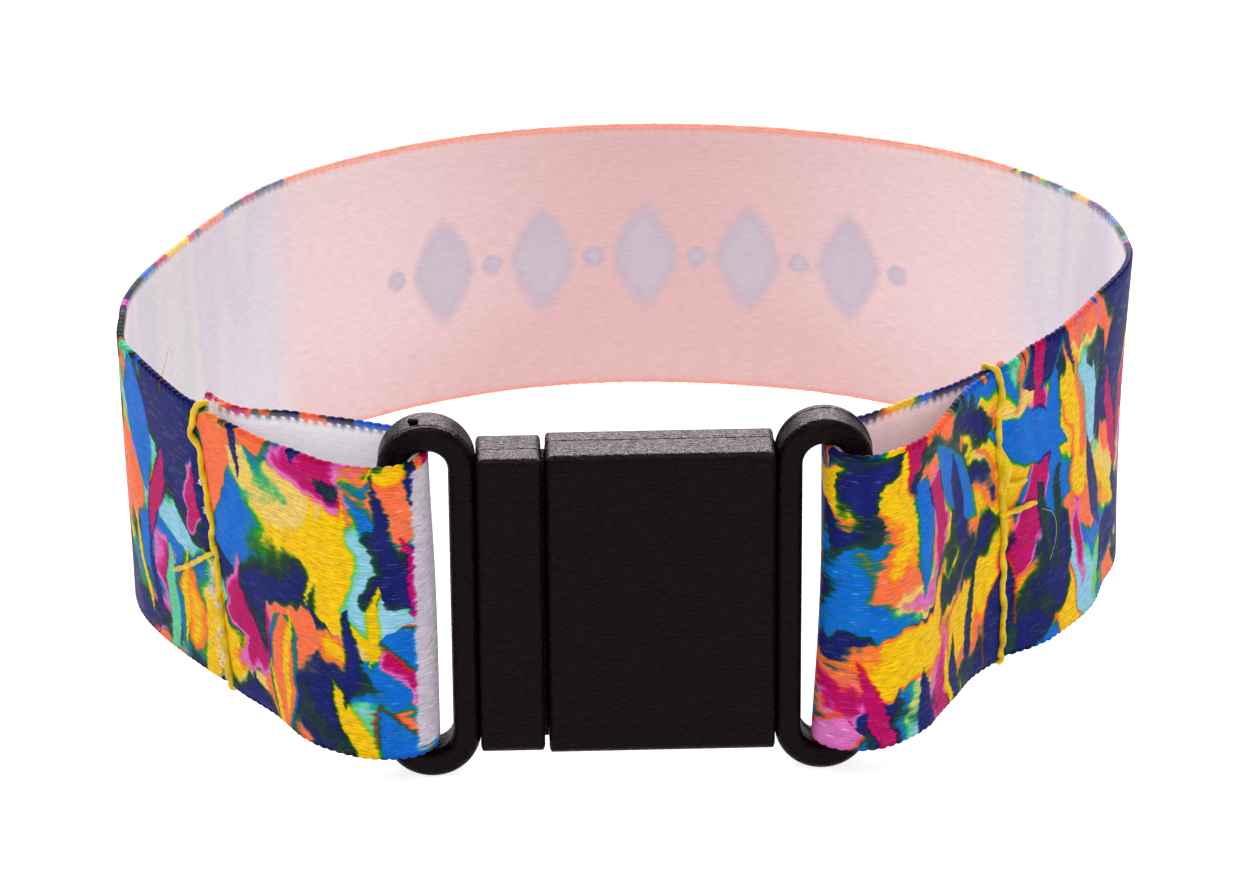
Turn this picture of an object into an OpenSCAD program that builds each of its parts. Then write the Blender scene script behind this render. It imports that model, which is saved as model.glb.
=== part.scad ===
// Fabric wristband: one strip of satin ribbon and a two-part plastic clasp, closed into a loop.
// Millimetres. The band lies on its side on the floor at Z = 0, with its axis upright, the way it
// stands by itself. The clasp faces -Y, and the origin is under the middle of the whole part.

/* [Ribbon] */
// Width of the ribbon from edge to edge
ribbon_w = 19.8; // [17:0.1:19.9]
// Thickness of the ribbon's wall
ribbon_t = 1; // [1:0.05:1.1]

/* [Loop] */
// Width of the loop over the middle of the ribbon
loop_w = 66.3; // [64:0.1:72]
// Depth of the loop behind the clasp's middle plane
loop_d = 55.4; // [53:0.1:62]

/* [Clasp block] */
// Width of the block that holds the socket
socket_w = 14.05; // [13:0.05:15]
// Width of the block that carries the tongue
tongue_block_w = 4; // [3.8:0.05:4.3]
// Height of the socket block
socket_h = 20.2; // [19.8:0.1:20.8]
// Height of the tongue block
tongue_block_h = 19.9; // [19.6:0.1:20.6]
// Thickness of both blocks
block_t = 4.2; // [4:0.1:4.6]
// Radius on the edges of both blocks
block_edge = 0.45; // [0.3:0.05:0.6]
// Gap between the two blocks when they are closed
closed_gap = 0.25; // [0.15:0.05:0.3]

/* [Clasp ring] */
// Width of a ring across its two bars
ring_w = 6; // [5.9:0.05:6.2]
// Height of a ring with its round ends
ring_h = 23.8; // [23.6:0.1:24.2]
// Thickness of a ring from front to back
ring_t = 2.9; // [2.5:0.1:3]
// Width of a ring's bar
ring_bar = 1.65; // [1.5:0.05:1.65]
// Radius on the edges of a ring
ring_edge = 0.45; // [0.3:0.05:0.6]
// Depth of the small flat on the foot of each ring
foot_cut = 0.1; // [0.05:0.01:0.12]

/* [Tongue] */
// Length of the tongue that is hidden in the socket
tongue_l = 9; // [7:0.5:11]
// Height of the tongue
tongue_h = 12; // [9:0.5:14]
// Thickness of the tongue
tongue_t = 2.2; // [1.8:0.1:2.2]
// Running gap between the tongue and its socket
tongue_gap = 0.2; // [0.15:0.05:0.2]

/* [Hidden] */
$fn = 48;

// Places of the clasp: its middle is a little left of the loop's middle
clasp_x = -1.05;
clasp_y = -26.1;
clasp_z = ribbon_w / 2;
socket_x = clasp_x + 2.04;
socket_left = socket_x - socket_w / 2;
tongue_block_right = socket_left - closed_gap;
tongue_block_x = tongue_block_right - tongue_block_w / 2;
left_ring_x = tongue_block_x - tongue_block_w / 2 - ring_w / 2;
right_ring_x = socket_x + socket_w / 2 + ring_w / 2;
neck_w = 1.2;
neck_h = 17;
neck_t = ring_t - 2 * ring_edge;

// Sizes of a ring's path
ring_r = (ring_w - ring_bar) / 2;
ring_straight = ring_h - ring_w;

// The ribbon's way in plan, from the left cut end round the back to the right cut end.
// Columns: x, y, heading in degrees, and lean, which says how far the top edge stands to the left
// of the bottom edge, seen along the way. The rows are drawn for a loop of drawn_w by drawn_d.
drawn_w = 66.3;
drawn_d = 55.4;
left_fold = [
    [-25.9, -17.1, -57, -1.3],  // left cut end, behind the seam
    [-24.9, -18.5, -55, -1.3],  // left seam, inner layer
    [-21.4, -21.2, -24, -0.6],  // inner layer between seam and ring
    [-15.8, -22.8, -24,  0.0],  // behind the ring's bar
    [-13.5, -24.6, -72, -0.2],  // into the ring's slot
    [-13.2, -26.6, -95, -0.3],  // through the ring's slot
    [-16.0, -29.0, -180, 0.2],  // in front of the ring's bar
    [-20.7, -26.6, -226, 0.3],  // outer layer where it stands off
    [-23.6, -22.6, -235, 1.2]   // outer layer near the seam
];
band = [
    [-25.9, -19.2, -237, 1.3],  // left seam
    [-31.4,  -9.1, -246, 0.3],  // left side, front
    [-32.9,  -3.6, -268, 0.2],  // left side, widest
    [-30.3,   6.9, -293, 0.3],  // left side, back
    [-22.6,  19.9, -314, 0.3],  // back left corner
    [-11.6,  27.1, -339, -0.2], // back, left of the middle
    [  0.5,  29.3, -360, -0.5], // back
    [ 12.5,  27.5, -376, -0.2], // back, right of the middle
    [ 24.2,  21.7, -396, 0.3],  // back right corner
    [ 31.4,  12.8, -423, 0.5],  // right side, back
    [ 32.8,   4.5, -449, 0.8],  // right side, widest
    [ 30.7,  -4.3, -475, -1.3], // right side, where it turns in
    [ 28.2,  -8.9, -483, -1.8], // right side, front
    [ 22.9, -16.0, -491, -1.3]  // right seam
];
right_fold = [
    [ 19.7, -20.7, -474, -0.2], // outer layer near the seam
    [ 17.6, -25.3, -474, -0.2], // outer layer where it stands off
    [ 16.2, -27.2, -494, -0.2], // outer layer before the ring
    [ 13.4, -28.9, -540, -0.2], // in front of the ring's bar
    [ 11.0, -26.8, -629, -0.4], // through the ring's slot
    [ 11.3, -24.6, -648, -0.2], // out of the ring's slot
    [ 13.6, -22.8, -685,  0.0], // behind the ring's bar
    [ 17.6, -20.0, -686,  0.6], // inner layer between ring and seam
    [ 21.9, -15.1, -673,  1.3], // right seam, inner layer
    [ 22.9, -14.2, -673,  1.4]  // right cut end, behind the seam
];
X = 0;
Y = 1;
HEADING = 2;
LEAN = 3;
Z = 2;
steps = 8; // stations in each stretch of the way

// A row of the band moved with the size of the loop. The rows in front of seam_y, where the band is
// sewn and held by the clasp, stay where they are.
seam_y = -14;
behind_seam = (loop_d + clasp_y - seam_y) / (drawn_d + clasp_y - seam_y);
function stretched(row) = row[Y] < seam_y ? row : [
    row[X] * loop_w / drawn_w,
    seam_y + (row[Y] - seam_y) * behind_seam,
    row[HEADING],
    row[LEAN]
];
way = concat(left_fold, [for (row = band) stretched(row)], right_fold);

function direction(heading) = [cos(heading), sin(heading)];
function place(row) = [row[X], row[Y]];

// A stretch between two rows is a smooth curve that leaves and arrives along their headings. An
// even turn comes out as close to an arc of a circle.
function pull(a, b) = norm(place(b) - place(a)) / pow(cos((b[HEADING] - a[HEADING]) / 4), 2);
function between(a, b, u) =
    (2 * u * u * u - 3 * u * u + 1) * place(a)
    + (u * u * u - 2 * u * u + u) * pull(a, b) * direction(a[HEADING])
    + (3 * u * u - 2 * u * u * u) * place(b)
    + (u * u * u - u * u) * pull(a, b) * direction(b[HEADING]);
function slope(a, b, u) =
    (6 * u * u - 6 * u) * (place(a) - place(b))
    + (3 * u * u - 4 * u + 1) * pull(a, b) * direction(a[HEADING])
    + (3 * u * u - 2 * u) * pull(a, b) * direction(b[HEADING]);

// The left side of the way at a station, as a unit vector in plan
function left_of(v) = [-v[Y], v[X]] / norm(v);

// The four corners of the ribbon's cross-section at one station: the side that faces out in the
// band comes first, from its top edge to its bottom edge
function section(a, b, u) =
    let (
        p = between(a, b, u),
        n = left_of(slope(a, b, u)),
        half_lean = (a[LEAN] + (3 * u * u - 2 * u * u * u) * (b[LEAN] - a[LEAN])) / 2,
        top = p + n * half_lean,
        bottom = p - n * half_lean,
        half = n * ribbon_t / 2
    )
    [
        [top[X] + half[X], top[Y] + half[Y], ribbon_w],
        [bottom[X] + half[X], bottom[Y] + half[Y], 0],
        [bottom[X] - half[X], bottom[Y] - half[Y], 0],
        [top[X] - half[X], top[Y] - half[Y], ribbon_w]
    ];

sections = concat(
    [
        for (i = [0 : len(way) - 2], k = [0 : steps - 1])
            section(way[i], way[i + 1], k / steps)
    ],
    [section(way[len(way) - 2], way[len(way) - 1], 1)]
);

// Rest on the floor: the rings reach lower than the ribbon, so the band leans back until the
// ribbon's lower edge meets the floor behind
ring_back_y = clasp_y + ring_t / 2;
ring_drop = ring_h / 2 - clasp_z;
ribbon_foot_y = max([for (s = sections) s[1][Y]]);
rest_tilt = asin((ring_drop - foot_cut) / (ribbon_foot_y - ring_back_y));
lift = ribbon_foot_y * sin(rest_tilt);
function middle(values) = (min(values) + max(values)) / 2;
middle_x = middle([for (s = sections, p = s) p[X]]);
middle_y = middle([for (s = sections, p = s) p[Y] * cos(rest_tilt) + p[Z] * sin(rest_tilt)]);

module rested() {
    translate([-middle_x, -middle_y, lift]) rotate([-rest_tilt, 0, 0]) children();
}

module floor_block() {
    translate([-loop_w, -loop_w, -20]) cube([2 * loop_w, 2 * loop_w, 20]);
}

// A rectangle with round corners, centred
module rounded(w, h, r) {
    square([w - 2 * r, h], center = true);
    square([w, h - 2 * r], center = true);
    for (i = [-1, 1], j = [-1, 1]) {
        translate([i * (w / 2 - r), j * (h / 2 - r)]) circle(r);
    }
}

// A block with every edge rounded, centred
module soft_block(w, t, h, r) {
    intersection() {
        linear_extrude(height = h + 1, center = true) rounded(w, t, r);
        rotate([90, 0, 0]) linear_extrude(height = t + 1, center = true) rounded(w, h, r);
        rotate([90, 0, 90]) linear_extrude(height = w + 1, center = true) rounded(t, h, r);
    }
}

// A ring that stands upright: two straight bars and two round ends of one bar section
module ring() {
    for (side = [-1, 1]) {
        translate([side * ring_r, 0, 0]) {
            linear_extrude(height = ring_straight, center = true) rounded(ring_bar, ring_t, ring_edge);
        }
    }
    for (end = [0, 1]) {
        mirror([0, 0, end]) translate([0, 0, ring_straight / 2]) rotate([90, 0, 0]) {
            rotate_extrude(angle = 180) translate([ring_r, 0]) rounded(ring_bar, ring_t, ring_edge);
        }
    }
}

// The short web that joins a ring to its block
module neck() {
    cube([neck_w, neck_t, neck_h], center = true);
}

module tongue(grow) {
    reach = tongue_l + grow;
    translate([tongue_block_right - block_edge, 0, 0]) {
        translate([(reach + block_edge) / 2, 0, 0]) {
            cube([reach + block_edge, tongue_t + 2 * grow, tongue_h + 2 * grow], center = true);
        }
    }
}

module at_clasp() {
    translate([0, clasp_y, clasp_z]) children();
}

// One strip: its two ends go through the rings' slots, fold back round the outer bars and lie
// against the inside of the band at the seams
module ribbon() {
    n = len(sections);
    walls = [
        for (i = [0 : n - 2], k = [0 : 3], half = [0, 1])
            let (a = 4 * i + k, b = 4 * i + (k + 1) % 4, c = b + 4, d = a + 4)
            half == 0 ? [a, b, c] : [a, c, d]
    ];
    last = 4 * (n - 1);
    ends = [[3, 2, 1], [3, 1, 0], [last, last + 1, last + 2], [last, last + 2, last + 3]];
    color([0.9, 0.45, 0.3]) rested() {
        polyhedron(points = [for (s = sections, corner = s) corner], faces = concat(walls, ends));
    }
}

// Left half: ring, narrow block and the plain tongue that goes into the socket
module clasp_tongue_half() {
    color([0.1, 0.09, 0.09]) difference() {
        rested() at_clasp() {
            translate([left_ring_x, 0, 0]) ring();
            translate([left_ring_x + ring_w / 2, 0, 0]) neck();
            translate([tongue_block_x, 0, 0]) {
                soft_block(tongue_block_w, block_t, tongue_block_h, block_edge);
            }
            tongue(0);
        }
        floor_block();
    }
}

// Right half: wide block with the socket, and its ring
module clasp_socket_half() {
    color([0.12, 0.11, 0.11]) difference() {
        rested() at_clasp() {
            translate([right_ring_x, 0, 0]) ring();
            translate([right_ring_x - ring_w / 2, 0, 0]) neck();
            difference() {
                translate([socket_x, 0, 0]) soft_block(socket_w, block_t, socket_h, block_edge);
                tongue(tongue_gap);
            }
        }
        floor_block();
    }
}

ribbon();
clasp_tongue_half();
clasp_socket_half();
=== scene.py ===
"""A fabric wristband: one strip of printed satin ribbon, closed into a loop by a flat black clasp.

The strip, its selvedges, its sewing thread and its loose fibres are made here as meshes. The two
clasp halves are the solids of the frame, dressed as moulded plastic, with the fine marks of their
mould added. All drawing sizes are millimetres, in the upright position in which the ribbon's lower
edge is at height 0; Rest turns them into metres in the frame.
"""

from __future__ import annotations

import logging
import math
from dataclasses import dataclass, field
from enum import Enum
from typing import Any, Mapping, Sequence

import bpy
import numpy as np
from mathutils import Matrix, Vector


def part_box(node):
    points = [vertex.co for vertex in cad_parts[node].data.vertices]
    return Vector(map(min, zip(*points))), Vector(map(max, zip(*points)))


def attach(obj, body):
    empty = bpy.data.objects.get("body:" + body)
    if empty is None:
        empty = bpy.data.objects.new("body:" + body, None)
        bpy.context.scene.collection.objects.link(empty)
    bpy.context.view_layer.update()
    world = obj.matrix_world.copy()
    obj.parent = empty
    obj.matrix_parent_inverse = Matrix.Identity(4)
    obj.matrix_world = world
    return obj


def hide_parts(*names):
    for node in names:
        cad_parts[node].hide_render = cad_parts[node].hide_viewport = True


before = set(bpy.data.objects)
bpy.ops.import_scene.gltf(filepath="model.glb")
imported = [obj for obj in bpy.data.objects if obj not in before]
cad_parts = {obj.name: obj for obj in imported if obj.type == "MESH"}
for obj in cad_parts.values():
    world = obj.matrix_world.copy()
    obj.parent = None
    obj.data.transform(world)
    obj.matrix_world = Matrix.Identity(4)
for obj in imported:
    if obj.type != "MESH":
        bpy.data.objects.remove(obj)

LOG = logging.getLogger("wristband")
MM = 0.001
BODY = "root"
DENSEST = 6.0  # the ink that takes away all of a light leaves exp(-6) of it
SPREAD = (0.042, 0.02, 0.03)  # mm that the blue, red and yellow inks creep beyond their edges


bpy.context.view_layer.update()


class Slot(Enum):
    """Names of the material slots."""

    RIBBON = "ribbon"
    CLASP = "clasp"


class Ink(Enum):
    """The printing inks, as red, green and blue from 0 to 255 as the eye sees them."""

    COBALT = (0, 102, 196)
    NAVY = (22, 30, 100)
    BOTTLE = (24, 54, 54)
    MAGENTA = (176, 0, 92)
    ORCHID = (208, 106, 178)
    ORANGE = (237, 110, 67)
    VERMILION = (226, 64, 40)
    YELLOW = (233, 185, 0)
    SAND = (226, 190, 96)
    SKY = (136, 192, 214)
    MINT = (96, 194, 142)
    TEAL = (0, 126, 148)
    SALMON = (248, 134, 102)
    SLATE = (88, 92, 120)


def linear(colour: Sequence[float]) -> tuple[float, float, float, float]:
    """Turns a colour as the eye sees it, from 0 to 255, into the shader's light values.

    Args:
        colour: red, green and blue.

    Returns:
        Red, green, blue and an alpha of 1.
    """
    shares = [c / 255.0 for c in colour]
    lights = [s / 12.92 if s <= 0.04045 else ((s + 0.055) / 1.055) ** 2.4 for s in shares]
    return (lights[0], lights[1], lights[2], 1.0)


def absorbed(colour: Sequence[float]) -> tuple[float, float, float, float]:
    """Turns a colour into the ink that prints it.

    Args:
        colour: red, green and blue as the eye sees them, from 0 to 255.

    Returns:
        How much ink takes away the red, green and blue light, from 0 to 1, and a 1.
    """
    inks = [min(1.0, -math.log(max(light, 1e-3)) / DENSEST) for light in linear(colour)[:3]]
    return (inks[0], inks[1], inks[2], 1.0)


# Shader recipes


class Signal:
    """A number that varies over a surface: a socket with arithmetic."""

    def __init__(self, recipe: "Recipe", socket: bpy.types.NodeSocket) -> None:
        """Wraps a socket.

        Args:
            recipe: the material that the socket belongs to.
            socket: the output that carries the number.
        """
        self.recipe = recipe
        self.socket = socket

    def _math(self, operation: str, *values: Any) -> "Signal":
        """Adds a Math node.

        Args:
            operation: what the node works out.
            values: its inputs in order.

        Returns:
            The result.
        """
        made = self.recipe.node("ShaderNodeMath", {"operation": operation}, dict(enumerate(values)))
        return Signal(self.recipe, made.outputs[0])

    def __add__(self, other: Any) -> "Signal":
        """Adds a number or a signal."""
        return self._math("ADD", self, other)

    __radd__ = __add__

    def __sub__(self, other: Any) -> "Signal":
        """Takes a number or a signal away."""
        return self._math("SUBTRACT", self, other)

    def __rsub__(self, other: Any) -> "Signal":
        """Takes this away from a number."""
        return self._math("SUBTRACT", other, self)

    def __mul__(self, other: Any) -> "Signal":
        """Multiplies by a number or a signal."""
        return self._math("MULTIPLY", self, other)

    __rmul__ = __mul__

    def __truediv__(self, other: Any) -> "Signal":
        """Divides by a number or a signal."""
        return self._math("DIVIDE", self, other)

    def __pow__(self, power: Any) -> "Signal":
        """Raises to a power."""
        return self._math("POWER", self, power)

    def __abs__(self) -> "Signal":
        """Drops the sign."""
        return self._math("ABSOLUTE", self)

    def floor(self) -> "Signal":
        """Rounds down."""
        return self._math("FLOOR", self)

    def fraction(self) -> "Signal":
        """Keeps what follows the point."""
        return self._math("FRACT", self)

    def sine(self) -> "Signal":
        """Takes the sine of an angle in radians."""
        return self._math("SINE", self)

    def cosine(self) -> "Signal":
        """Takes the cosine of an angle in radians."""
        return self._math("COSINE", self)

    def exponent(self) -> "Signal":
        """Raises e to this power."""
        return self._math("EXPONENT", self)

    def least(self, other: Any) -> "Signal":
        """Takes the smaller of two."""
        return self._math("MINIMUM", self, other)

    def most(self, other: Any) -> "Signal":
        """Takes the larger of two."""
        return self._math("MAXIMUM", self, other)

    def below(self, limit: Any) -> "Signal":
        """Gives 1 where this is under a limit, and 0 elsewhere."""
        return self._math("LESS_THAN", self, limit)

    def hump(self) -> "Signal":
        """Turns a run from 0 to 1 into a rounded hump that is 0 at both ends."""
        return 4.0 * self * (1.0 - self)

    def ramp(self, start: float, end: float) -> "Signal":
        """Rises smoothly from 0 to 1.

        Args:
            start: the value at which it is 0.
            end: the value at which it is 1, which may be the lower one.

        Returns:
            The mask.
        """
        made = self.recipe.node(
            "ShaderNodeMapRange",
            {"interpolation_type": "SMOOTHSTEP"},
            {"Value": self, "From Min": start, "From Max": end},
        )
        return Signal(self.recipe, made.outputs["Result"])


class Recipe:
    """A material under construction: one method makes every node."""

    def __init__(self, name: str) -> None:
        """Starts an empty material.

        Args:
            name: the material's name.
        """
        self.material = bpy.data.materials.new(name)
        self.material.use_nodes = True
        self.tree = self.material.node_tree
        self.tree.nodes.clear()

    def node(
        self,
        kind: str,
        settings: Mapping[str, Any] | None = None,
        inputs: Mapping[str | int, Any] | None = None,
    ) -> bpy.types.Node:
        """Adds a node.

        Args:
            kind: the node's type.
            settings: its properties, set first. "stops" fills a colour ramp.
            inputs: a value, a Signal or a socket for each input's name or number.

        Returns:
            The node.
        """
        made = self.tree.nodes.new(kind)
        for name, value in (settings or {}).items():
            if name == "stops":
                self._fill_ramp(made, value)
            else:
                setattr(made, name, value)
        for name, value in (inputs or {}).items():
            socket = made.inputs[name]
            if isinstance(value, Signal):
                self.tree.links.new(value.socket, socket)
            elif isinstance(value, bpy.types.NodeSocket):
                self.tree.links.new(value, socket)
            else:
                socket.default_value = value
        return made

    @staticmethod
    def _fill_ramp(made: bpy.types.Node, stops: Sequence[tuple[float, Sequence[float]]]) -> None:
        """Sets a colour ramp's stops.

        Args:
            made: the ramp's node.
            stops: place and light values of each stop, from low to high.
        """
        elements = made.color_ramp.elements
        while len(elements) > 1:
            elements.remove(elements[-1])
        elements[0].position, elements[0].color = stops[0]
        for place, colour in stops[1:]:
            elements.new(place).color = colour

    def vector(self, x: Any, y: Any, z: Any = 0.0) -> bpy.types.NodeSocket:
        """Joins three numbers into a vector."""
        return self.node("ShaderNodeCombineXYZ", {}, {"X": x, "Y": y, "Z": z}).outputs[0]

    def parts(self, vector: bpy.types.NodeSocket) -> tuple[Signal, Signal, Signal]:
        """Splits a vector or a colour into its three numbers."""
        made = self.node("ShaderNodeSeparateXYZ", {}, {0: vector})
        return tuple(Signal(self, socket) for socket in made.outputs)

    def noise(
        self, where: Any, scale: float = 1.0, detail: float = 2.0, rough: float = 0.5
    ) -> bpy.types.Node:
        """Adds a noise texture.

        Args:
            where: the place in the noise.
            scale: how many of its blots lie side by side in a length of 1.
            detail: how many finer noises are added.
            rough: how strong the finer noises are.

        Returns:
            The node, whose outputs are Fac and Color.
        """
        return self.node(
            "ShaderNodeTexNoise",
            {"noise_dimensions": "3D"},
            {"Vector": where, "Scale": scale, "Detail": detail, "Roughness": rough},
        )

    def cloud(
        self, where: Any, scale: float = 1.0, detail: float = 2.0, rough: float = 0.5
    ) -> Signal:
        """Gives a noise from 0 to 1, mostly near 0.5."""
        return Signal(self, self.noise(where, scale, detail, rough).outputs["Fac"])

    def grain(self, where: Any, scale: float = 1.0, detail: float = 2.0) -> Signal:
        """Gives a noise that swings about 0, mostly from -0.5 to 0.5."""
        return (self.cloud(where, scale, detail) - 0.5) * 2.0

    def dice(self, x: Any, y: Any = 0.0) -> Signal:
        """Gives a random number from 0 to 1 for each pair of whole numbers."""
        made = self.node(
            "ShaderNodeTexWhiteNoise", {"noise_dimensions": "2D"}, {"Vector": self.vector(x, y)}
        )
        return Signal(self, made.outputs["Value"])

    def mix(self, share: Any, first: Any, second: Any, how: str = "MIX") -> bpy.types.NodeSocket:
        """Mixes two colours.

        Args:
            share: how much of the second colour shows, from 0 to 1.
            first: a colour's light values, or a socket.
            second: the other colour.
            how: the Mix node's blend type.

        Returns:
            The mixed colour.
        """
        made = self.node(
            "ShaderNodeMix",
            {"data_type": "RGBA", "blend_type": how, "clamp_factor": True},
            {0: share, 6: first, 7: second},
        )
        return made.outputs[2]

    def pick(self, share: Signal, inks: Sequence[Ink]) -> bpy.types.NodeSocket:
        """Gives each ink an even part of a run from 0 to 1.

        Args:
            share: the place in the run.
            inks: the inks in order.

        Returns:
            The ink at that place.
        """
        stops = [(i / len(inks), absorbed(ink.value)) for i, ink in enumerate(inks)]
        made = self.node("ShaderNodeValToRGB", {"stops": stops}, {0: share})
        made.color_ramp.interpolation = "CONSTANT"
        return made.outputs["Color"]

    def triple(self, how: str, first: Any, second: Any) -> bpy.types.NodeSocket:
        """Works on three numbers at once."""
        made = self.node("ShaderNodeVectorMath", {"operation": how}, {0: first, 1: second})
        return made.outputs[0]

    def overprint(self, under: Any, ink: Any, cover: Signal, blur: float) -> bpy.types.NodeSocket:
        """Prints an ink over a print. Each of the press's three inks creeps a little into what
        holds less of it, which leaves the coloured fringes of a print on cloth.

        Args:
            under: the ink already there.
            ink: the new ink.
            cover: how far inside the new ink's shape a point lies, in mm.
            blur: half the width of its soft edge, in mm.

        Returns:
            The ink that is there now.
        """
        change = self.triple("SUBTRACT", ink, under)
        push = self.triple("MULTIPLY", change, [5.0 * s for s in SPREAD])
        push = self.triple("MINIMUM", push, SPREAD)
        push = self.triple("MAXIMUM", push, [-s for s in SPREAD])
        reach = self.triple("ADD", push, self.vector(cover, cover, cover))
        mask = self.node(
            "ShaderNodeMapRange",
            {"data_type": "FLOAT_VECTOR", "interpolation_type": "SMOOTHSTEP"},
            {6: reach, 7: (-blur,) * 3, 8: (blur,) * 3},
        )
        made = self.node(
            "ShaderNodeMix",
            {"data_type": "VECTOR", "factor_mode": "NON_UNIFORM"},
            {1: mask.outputs[1], 4: under, 5: ink},
        )
        return made.outputs[1]

    def finish(
        self, shader: Mapping[str, Any], height: Signal | None = None, depth: float = 0.0
    ) -> bpy.types.Material:
        """Ends the material with one shader.

        Args:
            shader: the inputs of the Principled shader.
            height: a relief from 0 to 1, if it has one.
            depth: the relief's depth in metres.

        Returns:
            The material.
        """
        inputs = dict(shader)
        if height is not None:
            bump = self.node(
                "ShaderNodeBump", {}, {"Strength": 1.0, "Distance": depth, "Height": height}
            )
            inputs["Normal"] = bump.outputs["Normal"]
        principled = self.node("ShaderNodeBsdfPrincipled", {}, inputs)
        self.node("ShaderNodeOutputMaterial", {}, {"Surface": principled.outputs[0]})
        return self.material


# Finishes


@dataclass(frozen=True)
class BlotPass:
    """One layer of soft-edged blots in the print."""

    ink: Ink
    level: float  # the ink shows where a noise is over this level
    size: tuple[float, float]  # short and long way of a blot
    turn_deg: float  # how far the long way leans from straight across the ribbon
    seed: float
    rim: Ink | None = None  # another ink round each blot
    rim_width: float = 0.5
    core: Ink | None = None  # another ink in each blot's middle
    core_depth: float = 0.6
    blur: float = 0.14
    sway: float = 1.0  # how far the brush strays

    def paint(
        self, recipe: Recipe, x: Signal, y: Signal, rough: Signal, under: bpy.types.NodeSocket
    ) -> bpy.types.NodeSocket:
        """Paints the blots over a print.

        Args:
            recipe: the material.
            x: place along the ribbon in mm, already disturbed by the brush.
            y: place across the ribbon in mm.
            rough: a fine grain that frays the edges.
            under: the ink below.

        Returns:
            The ink with the blots on it.
        """
        turn = math.radians(self.turn_deg)
        cosine, sine = math.cos(turn), math.sin(turn)
        short_way = (x * cosine + y * sine) / self.size[0]
        long_way = (y * cosine - x * sine) / self.size[1]
        where = recipe.vector(short_way, long_way, self.seed)
        height = recipe.cloud(where, 1.0, 1.0)
        # The noise rises by about its size over one blot
        cover = (height - self.level) * (1.2 * self.size[0]) + rough * 0.1
        layers = [(self.ink, 0.0)]
        if self.rim:
            layers.insert(0, (self.rim, -self.rim_width))
        if self.core:
            layers.append((self.core, self.core_depth))
        for ink, depth in layers:
            under = recipe.overprint(under, absorbed(ink.value)[:3], cover - depth, self.blur)
        return under


@dataclass(frozen=True)
class BrushPass:
    """One pass of painted strokes in the print: at most one leaf-shaped stroke to each cell."""

    cell: tuple[float, float]  # along and across the ribbon
    half_width: float
    half_length: float
    lean_deg: float  # how far a stroke leans either way from straight across
    share: float  # of the cells that get a stroke
    fills: tuple[Ink, ...]
    rims: tuple[Ink, ...] = ()
    rim: float = 0.0  # width of the rim of another ink round each stroke
    shift: tuple[float, float] = (0.0, 0.0)
    blur: float = 0.13
    sway: float = 0.3  # how far the brush strays

    def paint(
        self, recipe: Recipe, x: Signal, y: Signal, rough: Signal, under: bpy.types.NodeSocket
    ) -> bpy.types.NodeSocket:
        """Paints the strokes over a print.

        Args:
            recipe: the material.
            x: place along the ribbon in mm, already disturbed by the brush.
            y: place across the ribbon in mm.
            rough: a fine grain that frays the edges.
            under: the ink below.

        Returns:
            The ink with the strokes on it.
        """
        where = recipe.vector(x / self.cell[0] + self.shift[0], y / self.cell[1] + self.shift[1])
        cells = recipe.node(
            "ShaderNodeTexVoronoi",
            {"voronoi_dimensions": "2D", "feature": "F1"},
            {"Vector": where, "Scale": 1.0, "Randomness": 0.8},
        )
        middle_x, middle_y, _ = recipe.parts(cells.outputs["Position"])
        at_x, at_y, _ = recipe.parts(where)
        across_x = (at_x - middle_x) * self.cell[0]
        across_y = (at_y - middle_y) * self.cell[1]
        turn, pick, keep = recipe.parts(cells.outputs["Color"])
        angle = (turn - 0.5) * (2.0 * math.radians(self.lean_deg))
        cosine, sine = angle.cosine(), angle.sine()
        sideways = across_x * cosine + across_y * sine
        lengthways = across_y * cosine - across_x * sine
        # Under 1 inside a leaf with two pointed ends
        leaf = abs(sideways) / self.half_width + (lengthways / self.half_length) ** 2.0
        empty = 1.0 - keep.below(self.share)
        cover = (1.0 - leaf) * (0.8 * self.half_width) + rough * 0.07 - empty * 90.0
        if self.rims:
            inks = recipe.pick((pick * 7.0).fraction(), self.rims)
            under = recipe.overprint(under, inks, cover + self.rim, self.blur)
        return recipe.overprint(under, recipe.pick(pick, self.fills), cover, self.blur)


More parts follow.
